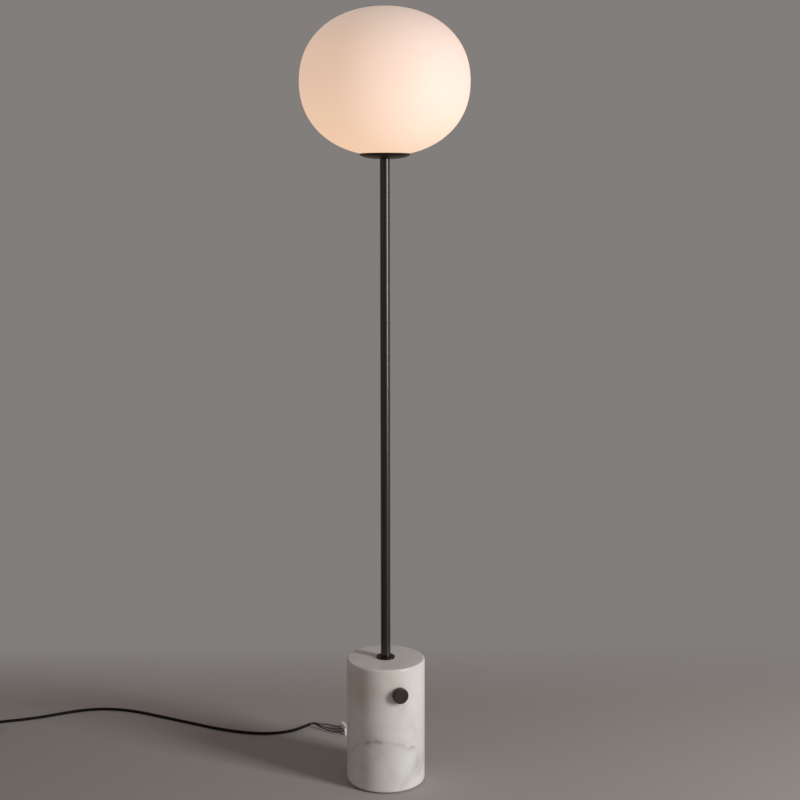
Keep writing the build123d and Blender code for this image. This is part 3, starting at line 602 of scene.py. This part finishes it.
inner_bowl = bowl(dish_radius - dish_wall, dish_depth - dish_wall, 0)
free_bowl = [(radius, height) for radius, height in inner_bowl if radius > seat_radius]
rim_round = arc((dish_radius - dish_wall / 2, dish_rim - dish_wall / 2), dish_wall / 2, 0, 180)
dish = lathe("globe_dish", bowl(dish_radius, dish_depth, foot_radius)[:-1] + rim_round + free_bowl[::-1][1:]
             + [(seat_radius, dish_seat), (dish_bore, dish_seat), (dish_bore, dish_foot)], steps=192)
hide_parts("dish")
print("dish rim at", dish_rim)

# %% [markdown]
# The globe is blown glass: three millimetres thick, a touch squarer than an ellipse, with a fire-polished
# mouth that stands on a soft ring in the dish.

# %% Globe
globe_radius = 162.5
globe_half_height = 139.5
globe_centre = 1360.5
globe_power = 2.16
glass_wall = 3.0
mouth_radius = 36.5
mouth_rim = 40.0
globe_foot = 1222.03
lip_round = 0.9


def globe_profile(inset, mouth, steps=96):
    """Half section of the globe from the mouth up to the crown."""
    wide, high = globe_radius - inset, globe_half_height - inset
    start = -math.acos((mouth / wide) ** (globe_power / 2))
    angles = [start + (math.pi / 2 - start) * i / steps for i in range(steps + 1)]
    points = []
    for angle in angles:
        rise = high * abs(math.sin(angle)) ** (2 / globe_power)
        points.append((wide * max(math.cos(angle), 0) ** (2 / globe_power),
                       globe_centre + math.copysign(rise, angle)))
    points[-1] = (0, globe_centre + high)
    return points


outer_skin = globe_profile(0, mouth_rim)
inner_skin = globe_profile(glass_wall, mouth_radius)
lip = (arc((mouth_rim - lip_round, globe_foot + lip_round), lip_round, 0, -90, 5)
       + arc((mouth_radius + lip_round, globe_foot + lip_round), lip_round, -90, -180, 5))
globe = lathe("opal_globe", outer_skin[::-1] + lip + inner_skin, "globe", steps=256)
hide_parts("globe_glass")
print("globe:", [round(v / MM, 1) for v in globe.dimensions])

# %% [markdown]
# The knob is a plain turned disc on the spindle, with a fine bevel that catches the light. A grub screw comes
# up through its underside and holds it.

# %% Knob
knob_radius = 15.0
knob_back = -78.5
knob_front = -87.5
knob_bevel = 1.2
knob_back_edge = 0.5
bore_end = -85.5
spindle_radius = 3.0
grub_place = -83.0
grub_radius = 1.5
grub_end = 2.5
knob = lathe_y("knob_disc", [(0, knob_front), (knob_radius - knob_bevel, knob_front)]
               + arc((knob_radius - knob_bevel, knob_front + knob_bevel), knob_bevel, -90, 0, 6)
               + arc((knob_radius - knob_back_edge, knob_back - knob_back_edge), knob_back_edge, 0, 90, 4)
               + [(spindle_radius, knob_back), (spindle_radius, bore_end), (0, bore_end)],
               (0, knob_height), "knob")
drill(knob, (0, grub_place, knob_height - knob_radius - past), (0, grub_place, knob_height - grub_end),
      grub_radius)
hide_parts("dimmer_knob")
print("knob faces:", len(knob.data.polygons))

# %% [markdown]
# Behind the knob a small spring pushes the spindle back out. It gets shorter when the knob is pressed. Here
# it is wound again as a wire, a helix for a curve with a bevel, and turned into a mesh of its own.

# %% Return spring
spring_wire = 0.8
spring_radius = 4.0
spring_turns = 5
spring_low, spring_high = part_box("return_spring")
spring_start = spring_low[1] / MM + spring_wire / 2
spring_end = spring_high[1] / MM - spring_wire / 2


def helix(steps_a_turn=24):
    """Points along the spring's wire, one more than its steps."""
    total = spring_turns * steps_a_turn
    points = []
    for i in range(total + 1):
        angle = 2 * math.pi * i / steps_a_turn
        points.append((spring_radius * math.cos(angle),
                       spring_start + (spring_end - spring_start) * i / total,
                       knob_height + spring_radius * math.sin(angle)))
    return points


wire = cable("spring_wire", helix(), spring_wire)
spring_mesh = bpy.data.meshes.new_from_object(wire.evaluated_get(bpy.context.evaluated_depsgraph_get()))
bpy.data.objects.remove(wire)
spring = show("push_spring", spring_mesh)
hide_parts("return_spring")
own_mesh(spring)
print("spring from", round(spring_start, 2), "to", round(spring_end, 2))

# %% [markdown]
# A flex breaks where it is bent most, at its two ends, so it leaves the marble and the plug in rubber sleeves
# that taper. Ring grooves let the sleeve bend. They are cut in the outline, a slope in and a slope out.

# %% Rubber sleeves
GROOVES = 7
groove_depth = 0.8
sleeve_bore = 3.05
relief_root, relief_tip_radius = 5.5, 3.9
marble_back = 76.5
relief_flange = 8.5
relief_flange_end = 79.0
flange_edge = 1.0
inside_marble = 16.0
hole_clearance = 0.1
tip_edge = (0.5, 0.6)
plug_back = 418.0
plug_sleeve_root = 6.0


def grooved_tail(root, tip, start, end):
    """Outline of a taper with ring grooves, from its root to its tip."""
    points = []
    pitch = (end - start) / (GROOVES + 1)
    for ring in range(GROOVES):
        for share, drop in ((0.45, 0), (0.60, groove_depth), (0.85, groove_depth), (1.0, 0)):
            y = start + (ring + share) * pitch
            points.append((root + (tip - root) * (y - start) / (end - start) - drop, y))
    return [(root, start)] + points + [(tip, end - tip_edge[1]), (tip - tip_edge[0], end)]


outlet_radius = cord_hole - hole_clearance
outlet_outline = [
    (sleeve_bore, marble_back - inside_marble), (outlet_radius, marble_back - inside_marble),
    (outlet_radius, marble_back), (relief_flange, marble_back),
    (relief_flange, relief_flange_end - flange_edge), (relief_flange - flange_edge, relief_flange_end),
]
outlet_outline += grooved_tail(relief_root, relief_tip_radius, relief_flange_end, relief_tip[1])
outlet = lathe_y("flex_outlet", outlet_outline + [(sleeve_bore, relief_tip[1])], (0, cord_height))
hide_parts("strain_relief")
plug_tail = grooved_tail(plug_sleeve_root, relief_tip_radius, plug_back, plug_tail_y)
plug_sleeve = lathe_y("plug_sleeve", [(0, plug_back)] + plug_tail + [(0, plug_tail_y)], (plug_x, plug_axis))
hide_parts("plug_relief")
print("sleeves:", outlet.name, plug_sleeve.name)

# %% [markdown]
# The plug is moulded in one piece: a wide round front with two slots for the earth strips, a waist that
# fingers find, and a ribbed grip. The ribs are rings in the outline again, and the slots are cut with two
# small boxes.

# %% Plug
plug_front = 374.0
plug_shoulder = 392.0
plug_radius = 18.0
grip_radius = 15.0
strip_width, strip_thickness = 6.0, 1.2
slot_past = 4.0
front_edge, shoulder_edge, back_edge = 1.5, 1.0, 5.0
waist = [(grip_radius + 0.3, 395.0), (grip_radius, 396.4)]
first_ring, ring_pitch, ring_depth = 398.6, 2.4, 0.7
grip_rings = [(grip_radius - drop, first_ring + ring_pitch * ring + share) for ring in range(5)
              for share, drop in ((0.0, 0), (0.5, ring_depth), (1.3, ring_depth), (1.8, 0))]
plug = lathe_y("plug", [(0, plug_front)]
               + arc((plug_radius - front_edge, plug_front + front_edge), front_edge, -90, 0)
               + arc((plug_radius - shoulder_edge, plug_shoulder - shoulder_edge), shoulder_edge, 0, 60, 4)
               + waist + grip_rings
               + arc((grip_radius - back_edge, plug_back - back_edge), back_edge, 0, 90) + [(0, plug_back)],
               (plug_x, plug_axis))
slot_size = Matrix.Diagonal((strip_width, plug_shoulder - plug_front + 2 * slot_past, strip_thickness, 1))
for upward in (-1, 1):
    slot_height = plug_axis + upward * (plug_radius - strip_thickness / 2)
    slot_centre = Vector((plug_x, (plug_front + plug_shoulder) / 2, slot_height)) * MM
    slot_form = bmesh.new()
    bmesh.ops.create_cube(slot_form, size=MM, matrix=Matrix.Translation(slot_centre) @ slot_size)
    slot_tool = bpy.data.meshes.new("slot")
    slot_form.to_mesh(slot_tool)
    slot_form.free()
    carve(plug, slot_tool)
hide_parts("plug_body")
print("plug faces:", len(plug.data.polygons))

# %% [markdown]
# The terminal block comes as it is from the solid model, and only its sharp edges are rounded over, because a
# moulded edge is never sharp. A copy of its skin is cleaned of the cuts across flat faces first.

# %% Terminal block edges
edge_round = 0.35
same_point = 0.00001
flat_angle = math.radians(1)
corner_angle = math.radians(50)
skin = bmesh.new()
skin.from_mesh(nodes["terminal_housing"].data)
bmesh.ops.remove_doubles(skin, verts=skin.verts, dist=same_point)
bmesh.ops.dissolve_limit(skin, angle_limit=flat_angle, verts=skin.verts, edges=skin.edges)
sharp = [edge for edge in skin.edges
         if len(edge.link_faces) == 2 and edge.calc_face_angle(0) > corner_angle]
bmesh.ops.bevel(skin, geom=sharp, offset=edge_round * MM, segments=2, affect="EDGES", profile=0.5)
block_mesh = bpy.data.meshes.new("terminal_block")
skin.to_mesh(block_mesh)
skin.free()
block = show("terminal_block", block_mesh)
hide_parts("terminal_housing")
print("rounded edges:", len(sharp))

# %% [markdown]
# The length of each flex is what its line measures.

print("flex lengths:", round(route_length(lead_flex), 3), round(route_length(supply_flex), 3))

# %% [markdown]
# Every finish here comes from nodes. One fine noise usually drives three things at once: a little colour, a
# little gloss and a little relief. That is what keeps a surface from looking like poured plastic.

# %% Nodes, links and ramps
def node(material, kind, **inputs):
    """New node with some of its inputs set. Underscores stand for spaces."""
    made = material.node_tree.nodes.new(kind)
    for key, value in inputs.items():
        made.inputs[key.replace("_", " ")].default_value = value
    return made


def link(material, source, target):
    material.node_tree.links.new(source, target)


def ramp(material, source, stops):
    """Colour ramp over (place, colour) stops."""
    made = material.node_tree.nodes.new("ShaderNodeValToRGB")
    band = made.color_ramp
    while len(band.elements) < len(stops):
        band.elements.new(0.5)
    for element, (place, colour) in zip(band.elements, stops):
        element.position = place
        element.color = colour
    link(material, source, made.inputs["Fac"])
    return made.outputs["Color"]


print("node tools ready")

# %% [markdown]
# Noise is read at the piece's own place in metres, so its grain has a real size and stays on the piece. Bump
# depth is in metres too.

# %% Noise and relief
def noise(material, scale, detail=5.0, distortion=0.0, stretch=(1, 1, 1)):
    """Noise over the piece's own coordinates, in metres, stretched along an axis where that is wanted."""
    place = node(material, "ShaderNodeTexCoord")
    mapping = node(material, "ShaderNodeMapping", Scale=stretch)
    made = node(material, "ShaderNodeTexNoise", Scale=scale, Detail=detail, Distortion=distortion)
    link(material, place.outputs["Object"], mapping.inputs["Vector"])
    link(material, mapping.outputs["Vector"], made.inputs["Vector"])
    return made.outputs["Fac"]


def spread(material, source, low, high, from_low=0.3, from_high=0.7):
    """Value stretched into a range."""
    made = node(material, "ShaderNodeMapRange", From_Min=from_low, From_Max=from_high, To_Min=low,
                To_Max=high)
    link(material, source, made.inputs["Value"])
    return made.outputs["Result"]


def relief(material, source, strength, depth):
    """Small surface relief from a value, with its depth in metres."""
    bump = node(material, "ShaderNodeBump", Strength=strength, Distance=depth)
    link(material, source, bump.inputs["Height"])
    link(material, bump.outputs["Normal"], main_shader(material).inputs["Normal"])


print("noise tools ready")

# %% [markdown]
# Most small pieces share one everyday finish: a noise that moves colour, gloss and relief together. A second
# tool puts a finish on a piece, in place of the plain one that it came with.

# %% An everyday finish
GRAIN_STRENGTH = 0.35


def grained(name, pale, dark, gloss, scale, metallic=0.0, depth=0.00005, stretch=(1, 1, 1)):
    """Everyday finish: one noise moves the colour, the gloss and the relief."""
    material = finish(name, pale, gloss[0], metallic)
    shader = main_shader(material)
    grain = noise(material, scale, stretch=stretch)
    link(material, ramp(material, grain, [(0.36, dark), (0.64, pale)]), shader.inputs["Base Color"])
    link(material, spread(material, grain, *gloss), shader.inputs["Roughness"])
    relief(material, grain, GRAIN_STRENGTH, depth)
    return material


def wear(material, *pieces):
    """Put a finish on pieces in place of what they had."""
    for piece in pieces:
        piece = nodes[piece] if isinstance(piece, str) else piece
        piece.data.materials.clear()
        piece.data.materials.append(material)


print("everyday finish ready")

# %% [markdown]
# Veins, patches and the painted warm shade and glow need places, not grain. Distances along a direction or
# away from a spot give them, and a few sums put them together.

# %% Places and sums
def measured(material, operation, vector):
    """What a vector operation gives for each place on a piece, in metres."""
    place = node(material, "ShaderNodeTexCoord")
    made = node(material, "ShaderNodeVectorMath")
    made.operation = operation
    made.inputs[1].default_value = vector
    link(material, place.outputs["Object"], made.inputs[0])
    return made.outputs["Value"]


def along(material, direction):
    """Distance along a direction, from the lamp's foot."""
    return measured(material, "DOT_PRODUCT", direction)


def away_from(material, spot):
    return measured(material, "DISTANCE", spot)


def combined(material, operation, *values):
    """Values added, multiplied or compared one after the other."""
    result = values[0]
    for value in values[1:]:
        made = node(material, "ShaderNodeMath")
        made.operation = operation
        link(material, result, made.inputs[0])
        link(material, value, made.inputs[1])
        result = made.outputs[0]
    return result


print("place tools ready")

# %% [markdown]
# The floor is rolled paper with a faint tooth. Where it has faded, a ray that looks goes through it and finds
# the grey of the air, so no line shows between the two.

# %% Floor finish
def fade_floor(material):
    behind = spread(material, along(material, from_view(0, 1, 0)), 0.0, 1.0, *fade_behind)
    around = spread(material, away_from(material, (0, 0, 0)), 0.0, 1.0, *fade_around)
    amount = combined(material, "MULTIPLY", combined(material, "MAXIMUM", behind, around),
                      looking(material.node_tree))
    clear = node(material, "ShaderNodeBsdfTransparent")
    blend = node(material, "ShaderNodeMixShader")
    link(material, amount, blend.inputs[0])
    link(material, main_shader(material).outputs[0], blend.inputs[1])
    link(material, clear.outputs[0], blend.inputs[2])
    link(material, blend.outputs[0], material.node_tree.nodes["Material Output"].inputs["Surface"])


floor_finish = floor.data.materials[0]
relief(floor_finish, noise(floor_finish, 700.0, 3.0), 0.2, 0.00005)
fade_floor(floor_finish)
print("floor fades from", fade_behind[0], "m behind the lamp")

# %% [markdown]
# The marble is white with warm, cloudy depth. A vein in stone is really a thin wavy sheet, and what shows is
# where it comes out through the surface. So the main vein is a tilted plane, bent by a noise: it arches over
# the front of the block, lower on both sides. These tools draw such a line, and soft spots on the block.

# %% Tools for the stone
FULL_SHARE = 0.25


def centre_line(material, source, middle, width):
    """1 where a value passes its middle, falling to 0 on both sides."""
    shift = node(material, "ShaderNodeMath")
    shift.operation = "SUBTRACT"
    shift.inputs[1].default_value = middle
    link(material, source, shift.inputs[0])
    size = node(material, "ShaderNodeMath")
    size.operation = "ABSOLUTE"
    link(material, shift.outputs[0], size.inputs[0])
    made = node(material, "ShaderNodeMapRange", From_Min=0.0, From_Max=width, To_Min=1.0, To_Max=0.0)
    made.interpolation_type = "SMOOTHSTEP"
    link(material, size.outputs[0], made.inputs["Value"])
    return made.outputs["Result"]


def mix(material, amount, under, over):
    """Colour laid over another by an amount. The lower colour is an output, the upper one a value."""
    made = material.node_tree.nodes.new("ShaderNodeMix")
    made.data_type = "RGBA"
    link(material, amount, made.inputs["Factor"])
    link(material, under, made.inputs[6])
    made.inputs[7].default_value = over
    return made.outputs[2]


def near(material, spot, reach, share):
    """Soft spot of a given strength, in millimetres, that fades out at its reach."""
    made = node(material, "ShaderNodeMapRange", From_Min=reach * FULL_SHARE * MM, From_Max=reach * MM,
                To_Min=share, To_Max=0.0)
    made.interpolation_type = "SMOOTHSTEP"
    link(material, away_from(material, [v * MM for v in spot]), made.inputs["Value"])
    return made.outputs["Result"]


def on_side(turn, height):
    """Point on the side of the block: degrees to the right of the knob, and height in millimetres."""
    angle = math.radians(turn)
    return (base_radius * math.sin(angle), -base_radius * math.cos(angle), height)


print("front of the block:", [round(v, 1) for v in on_side(0, 100)])

# %% [markdown]
# The vein is nearly gone in most places and comes up in a few soft smudges, each a spot with its own reach. A
# bluish patch sits low on the right. A brown tint, high on the left and under the top, is painted warm shade
# and the globe's painted warm glow. A second, deeper sheet crosses the block.

# %% Veins, painted shade and glow, and clouds
VEIN_TILT = (0.388, 0.895, 1.0)
DEEP_TILT = (-0.75, 0.55, 0.66)
vein_middle, vein_width, halo_width = 0.031, 0.0055, 0.019
deep_middle, deep_width = -0.030, 0.020
stone = finish("white_marble", (0.81, 0.80, 0.78, 1), 0.36)
stone_shader = main_shader(stone)
clouds = ramp(stone, noise(stone, 13.0, 4.0, 0.8), [
    (0.34, (0.745, 0.715, 0.675, 1)), (0.46, (0.81, 0.795, 0.775, 1)), (0.64, (0.86, 0.86, 0.855, 1))])
crystals = noise(stone, 900.0, 2.0)
bend = spread(stone, noise(stone, 19.0, 4.0, 0.2), -0.009, 0.009)
sheet = combined(stone, "ADD", along(stone, VEIN_TILT), bend)
vein_line = centre_line(stone, sheet, vein_middle, vein_width)
halo_line = centre_line(stone, sheet, vein_middle, halo_width)
faint = spread(stone, noise(stone, 17.0, 2.0), 0.0, 0.20, 0.44, 0.62)
vein_where = combined(stone, "MAXIMUM", faint, near(stone, on_side(-31, 107), 17, 0.75),
                      near(stone, on_side(-46, 99), 12, 0.6), near(stone, on_side(21, 83), 15, 0.45),
                      near(stone, on_side(-70, 82), 26, 0.3))
patch = combined(stone, "MULTIPLY", near(stone, on_side(38, 46), 30, 0.75),
                 spread(stone, noise(stone, 40.0, 3.0, 0.5), 0.1, 1.0, 0.38, 0.60))
deep_sheet = combined(stone, "ADD", along(stone, DEEP_TILT), bend)
deep_line = centre_line(stone, deep_sheet, deep_middle, deep_width)
deep_where = spread(stone, noise(stone, 12.0, 2.0), 0.0, 0.36, 0.50, 0.64)
# Painted light: a brown tint for the warm shade high on the left side and for the globe's warm glow under the
# top.
painted_shade_and_glow = combined(stone, "MAXIMUM", near(stone, on_side(-62, 205), 62, 0.42),
                 near(stone, on_side(-4, 238), 72, 0.18))
print("noises and spots:", len(stone.node_tree.nodes), "nodes")

# %% [markdown]
# The layers go over each other like washes of ink: painted warm shade and glow, halo of the vein, deep sheet,
# patch and vein. The stone also lets a little light in, which subsurface gives.

# %% Marble
# The first layer is painted light: warm shade high on the left, and the globe's warm glow under the top.
tone = mix(stone, painted_shade_and_glow, clouds, (0.66, 0.565, 0.455, 1))
halo = combined(stone, "MULTIPLY", halo_line, spread(stone, vein_where, 0.12, 0.40, 0.0, 1.0))
tone = mix(stone, halo, tone, (0.60, 0.545, 0.49, 1))
tone = mix(stone, combined(stone, "MULTIPLY", deep_line, deep_where), tone, (0.56, 0.53, 0.50, 1))
tone = mix(stone, patch, tone, (0.50, 0.49, 0.48, 1))
tone = mix(stone, combined(stone, "MULTIPLY", vein_line, vein_where), tone, (0.40, 0.365, 0.335, 1))
link(stone, tone, stone_shader.inputs["Base Color"])
link(stone, spread(stone, crystals, 0.30, 0.42), stone_shader.inputs["Roughness"])
stone_shader.inputs["Subsurface Weight"].default_value = 0.15
stone_shader.inputs["Subsurface Radius"].default_value = (0.008, 0.006, 0.004)
relief(stone, crystals, 0.12, 0.00002)
wear(stone, marble)
print("marble nodes:", len(stone.node_tree.nodes))

# %% [markdown]
# The metal is a blackened bronze: nearly black, faintly brown, lacquered, with the fine upright lines that a
# drawn tube keeps. The lines are only a noise stretched along the tube. Lacquer is a clear coat over the
# metal, and it gives the stem its thin bright line. The knob is a shade browner and the flange blacker.

# %% Bronze
BRONZE = (0.050, 0.042, 0.034, 1)
BRONZE_DARK = (0.030, 0.025, 0.021, 1)
SOOT = (0.020, 0.017, 0.015, 1)
tube_bronze = grained("bronze_tube", BRONZE_DARK, SOOT, (0.40, 0.46), 110.0, 0.9, 0.000001, (1, 1, 0.004))
tube_shader = main_shader(tube_bronze)
tube_shader.inputs["Coat Weight"].default_value = 1.0
tube_shader.inputs["Coat Roughness"].default_value = 0.28
turned_bronze = grained("bronze_turned", BRONZE, BRONZE_DARK, (0.32, 0.45), 500.0, 0.8, 0.00001)
blackened = grained("bronze_blackened", BRONZE_DARK, SOOT, (0.34, 0.5), 420.0, 0.7, 0.00001)
knob_bronze = grained("bronze_knob", (0.082, 0.068, 0.052, 1), BRONZE, (0.36, 0.5), 600.0, 0.8, 0.00001)
wear(tube_bronze, stem)
wear(turned_bronze, dish)
wear(knob_bronze, knob)
wear(blackened, flange)
print("bronze colour:", BRONZE[:3])

# %% [markdown]
# The globe is white opal glass with a silk-matt skin. The bulb inside glows dimly and warm, so the glass has
# a peach light of its own that is strongest low down, next to the bulb, and fades towards the crown.

# %% Opal glass
opal = finish("opal_glass", (0.48, 0.445, 0.465, 1), 0.6)
opal_shader = main_shader(opal)
silk = noise(opal, 260.0, 3.0)
milk = noise(opal, 5.0, 2.0)
link(opal, ramp(opal, milk, [(0.35, (0.465, 0.43, 0.45, 1)), (0.65, (0.495, 0.46, 0.48, 1))]),
     opal_shader.inputs["Base Color"])
link(opal, spread(opal, silk, 0.54, 0.66), opal_shader.inputs["Roughness"])
opal_place = node(opal, "ShaderNodeTexCoord")
opal_split = node(opal, "ShaderNodeSeparateXYZ")
link(opal, opal_place.outputs["Object"], opal_split.inputs["Vector"])
opal_level = spread(opal, opal_split.outputs["Z"], 0.0, 1.0, 1.222, 1.5)
link(opal, ramp(opal, opal_level, [(0.0, (0.80, 0.53, 0.34, 1)), (0.35, (0.72, 0.485, 0.335, 1)),
                                   (0.7, (0.62, 0.43, 0.31, 1)), (1.0, (0.46, 0.35, 0.28, 1))]),
     opal_shader.inputs["Emission Color"])
opal_shader.inputs["Emission Strength"].default_value = 1.0
opal_shader.inputs["Specular IOR Level"].default_value = 0.3
relief(opal, silk, 0.1, 0.00001)
wear(opal, globe)
print("globe glow:", opal_shader.inputs["Emission Strength"].default_value)

# %% [markdown]
# Most of the lamp is never seen, but a reader who takes it apart should find brass where brass is, and a
# green and yellow earth wire where that runs.

# %% Finishes of the smaller pieces
felt_finish = grained("black_felt", (0.035, 0.034, 0.034, 1), (0.012, 0.012, 0.012, 1), (0.95, 1.0), 1400.0,
                      depth=0.0003)
steel = grained("zinc_steel", (0.62, 0.62, 0.61, 1), (0.48, 0.48, 0.48, 1), (0.25, 0.45), 220.0, 1.0)
nickel = grained("nickel", (0.70, 0.67, 0.61, 1), (0.60, 0.57, 0.52, 1), (0.14, 0.26), 150.0, 1.0)
brass = grained("brass", (0.72, 0.52, 0.24, 1), (0.55, 0.37, 0.15, 1), (0.22, 0.4), 180.0, 1.0)
black_plastic = grained("black_plastic", (0.028, 0.028, 0.029, 1), (0.016, 0.016, 0.017, 1), (0.42, 0.56),
                        700.0)
white_plastic = grained("white_plastic", (0.80, 0.79, 0.76, 1), (0.74, 0.73, 0.70, 1), (0.35, 0.5), 500.0)
ceramic = grained("holder_ceramic", (0.84, 0.82, 0.78, 1), (0.78, 0.76, 0.72, 1), (0.3, 0.5), 260.0)
silicone = grained("clear_silicone", (0.62, 0.60, 0.57, 1), (0.52, 0.50, 0.47, 1), (0.5, 0.65), 240.0)
sheath = grained("black_sheath", (0.010, 0.009, 0.009, 1), (0.005, 0.005, 0.005, 1), (0.50, 0.64), 420.0)
main_shader(sheath).inputs["Specular IOR Level"].default_value = 0.16
core_black = grained("core_black", (0.036, 0.034, 0.033, 1), (0.020, 0.019, 0.019, 1), (0.32, 0.44), 300.0)
rubber = grained("relief_rubber", (0.026, 0.026, 0.026, 1), (0.014, 0.014, 0.014, 1), (0.6, 0.75), 600.0)
earth_green = grained("earth_wire", (0.55, 0.60, 0.06, 1), (0.05, 0.30, 0.07, 1), (0.35, 0.45), 160.0)
circuit = grained("circuit_board", (0.74, 0.73, 0.69, 1), (0.60, 0.60, 0.56, 1), (0.4, 0.6), 380.0)
bulb_white = grained("bulb_diffuser", (0.86, 0.84, 0.80, 1), (0.82, 0.80, 0.76, 1), (0.45, 0.6), 300.0)

dressed = {
    felt_finish: [felt],
    steel: ["base_plate", "base_plate_screws", "stem_lower_insert", "stem_upper_insert", "lower_nipple",
            "upper_nipple", "inner_washer", "inner_nut", "dish_washer", "dish_nut", "dimmer_bracket",
            spring, "spindle", "grub_screw", "clamp_screws", "earth_screw", "terminal_screws"],
    nickel: ["bulb_cap", "holder_thread", "plug_fittings"],
    brass: ["base_anchors", "holder_contact", "holder_terminals", "bulb_contact", "bush_nut",
            "terminal_tubes", "earth_tag"],
    black_plastic: ["holder_cap", "holder_shell", "dimmer_housing", "dimmer_cover", plug],
    white_plastic: ["bulb_collar", "push_carriage", "spindle_sleeve", "cord_clamp", "clamp_bar"],
    ceramic: ["holder_insulator"],
    silicone: ["seat_ring"],
    sheath: [supply_flex, lead_flex, "inner_lead", "lamp_cable"],
    core_black: cores,
    rubber: [outlet, plug_sleeve],
    earth_green: ["earth_wire"],
    circuit: ["bulb_board"],
    bulb_white: ["bulb_diffuser"],
}
for material, pieces in dressed.items():
    wear(material, *pieces)
print("shared finishes:", len(dressed))

# %% [markdown]
# The terminal block is moulded in a milky, half clear plastic, through which its brass tubes show.

# %% Terminal block
milky = finish("milky_plastic", (0.86, 0.86, 0.84, 1), 0.32)
milky_shader = main_shader(milky)
milky_shader.inputs["Transmission Weight"].default_value = 0.12
milky_shader.inputs["IOR"].default_value = 1.49
milky_shader.inputs["Subsurface Weight"].default_value = 0.5
milky_shader.inputs["Subsurface Radius"].default_value = (0.006, 0.006, 0.006)
mist = noise(milky, 180.0, 3.0)
link(milky, ramp(milky, mist, [(0.35, (0.88, 0.875, 0.86, 1)), (0.65, (0.95, 0.95, 0.94, 1))]),
     milky_shader.inputs["Base Color"])
link(milky, spread(milky, mist, 0.28, 0.42), milky_shader.inputs["Roughness"])
relief(milky, mist, 0.2, 0.00005)
wear(milky, block)
print("block finish:", milky.name)
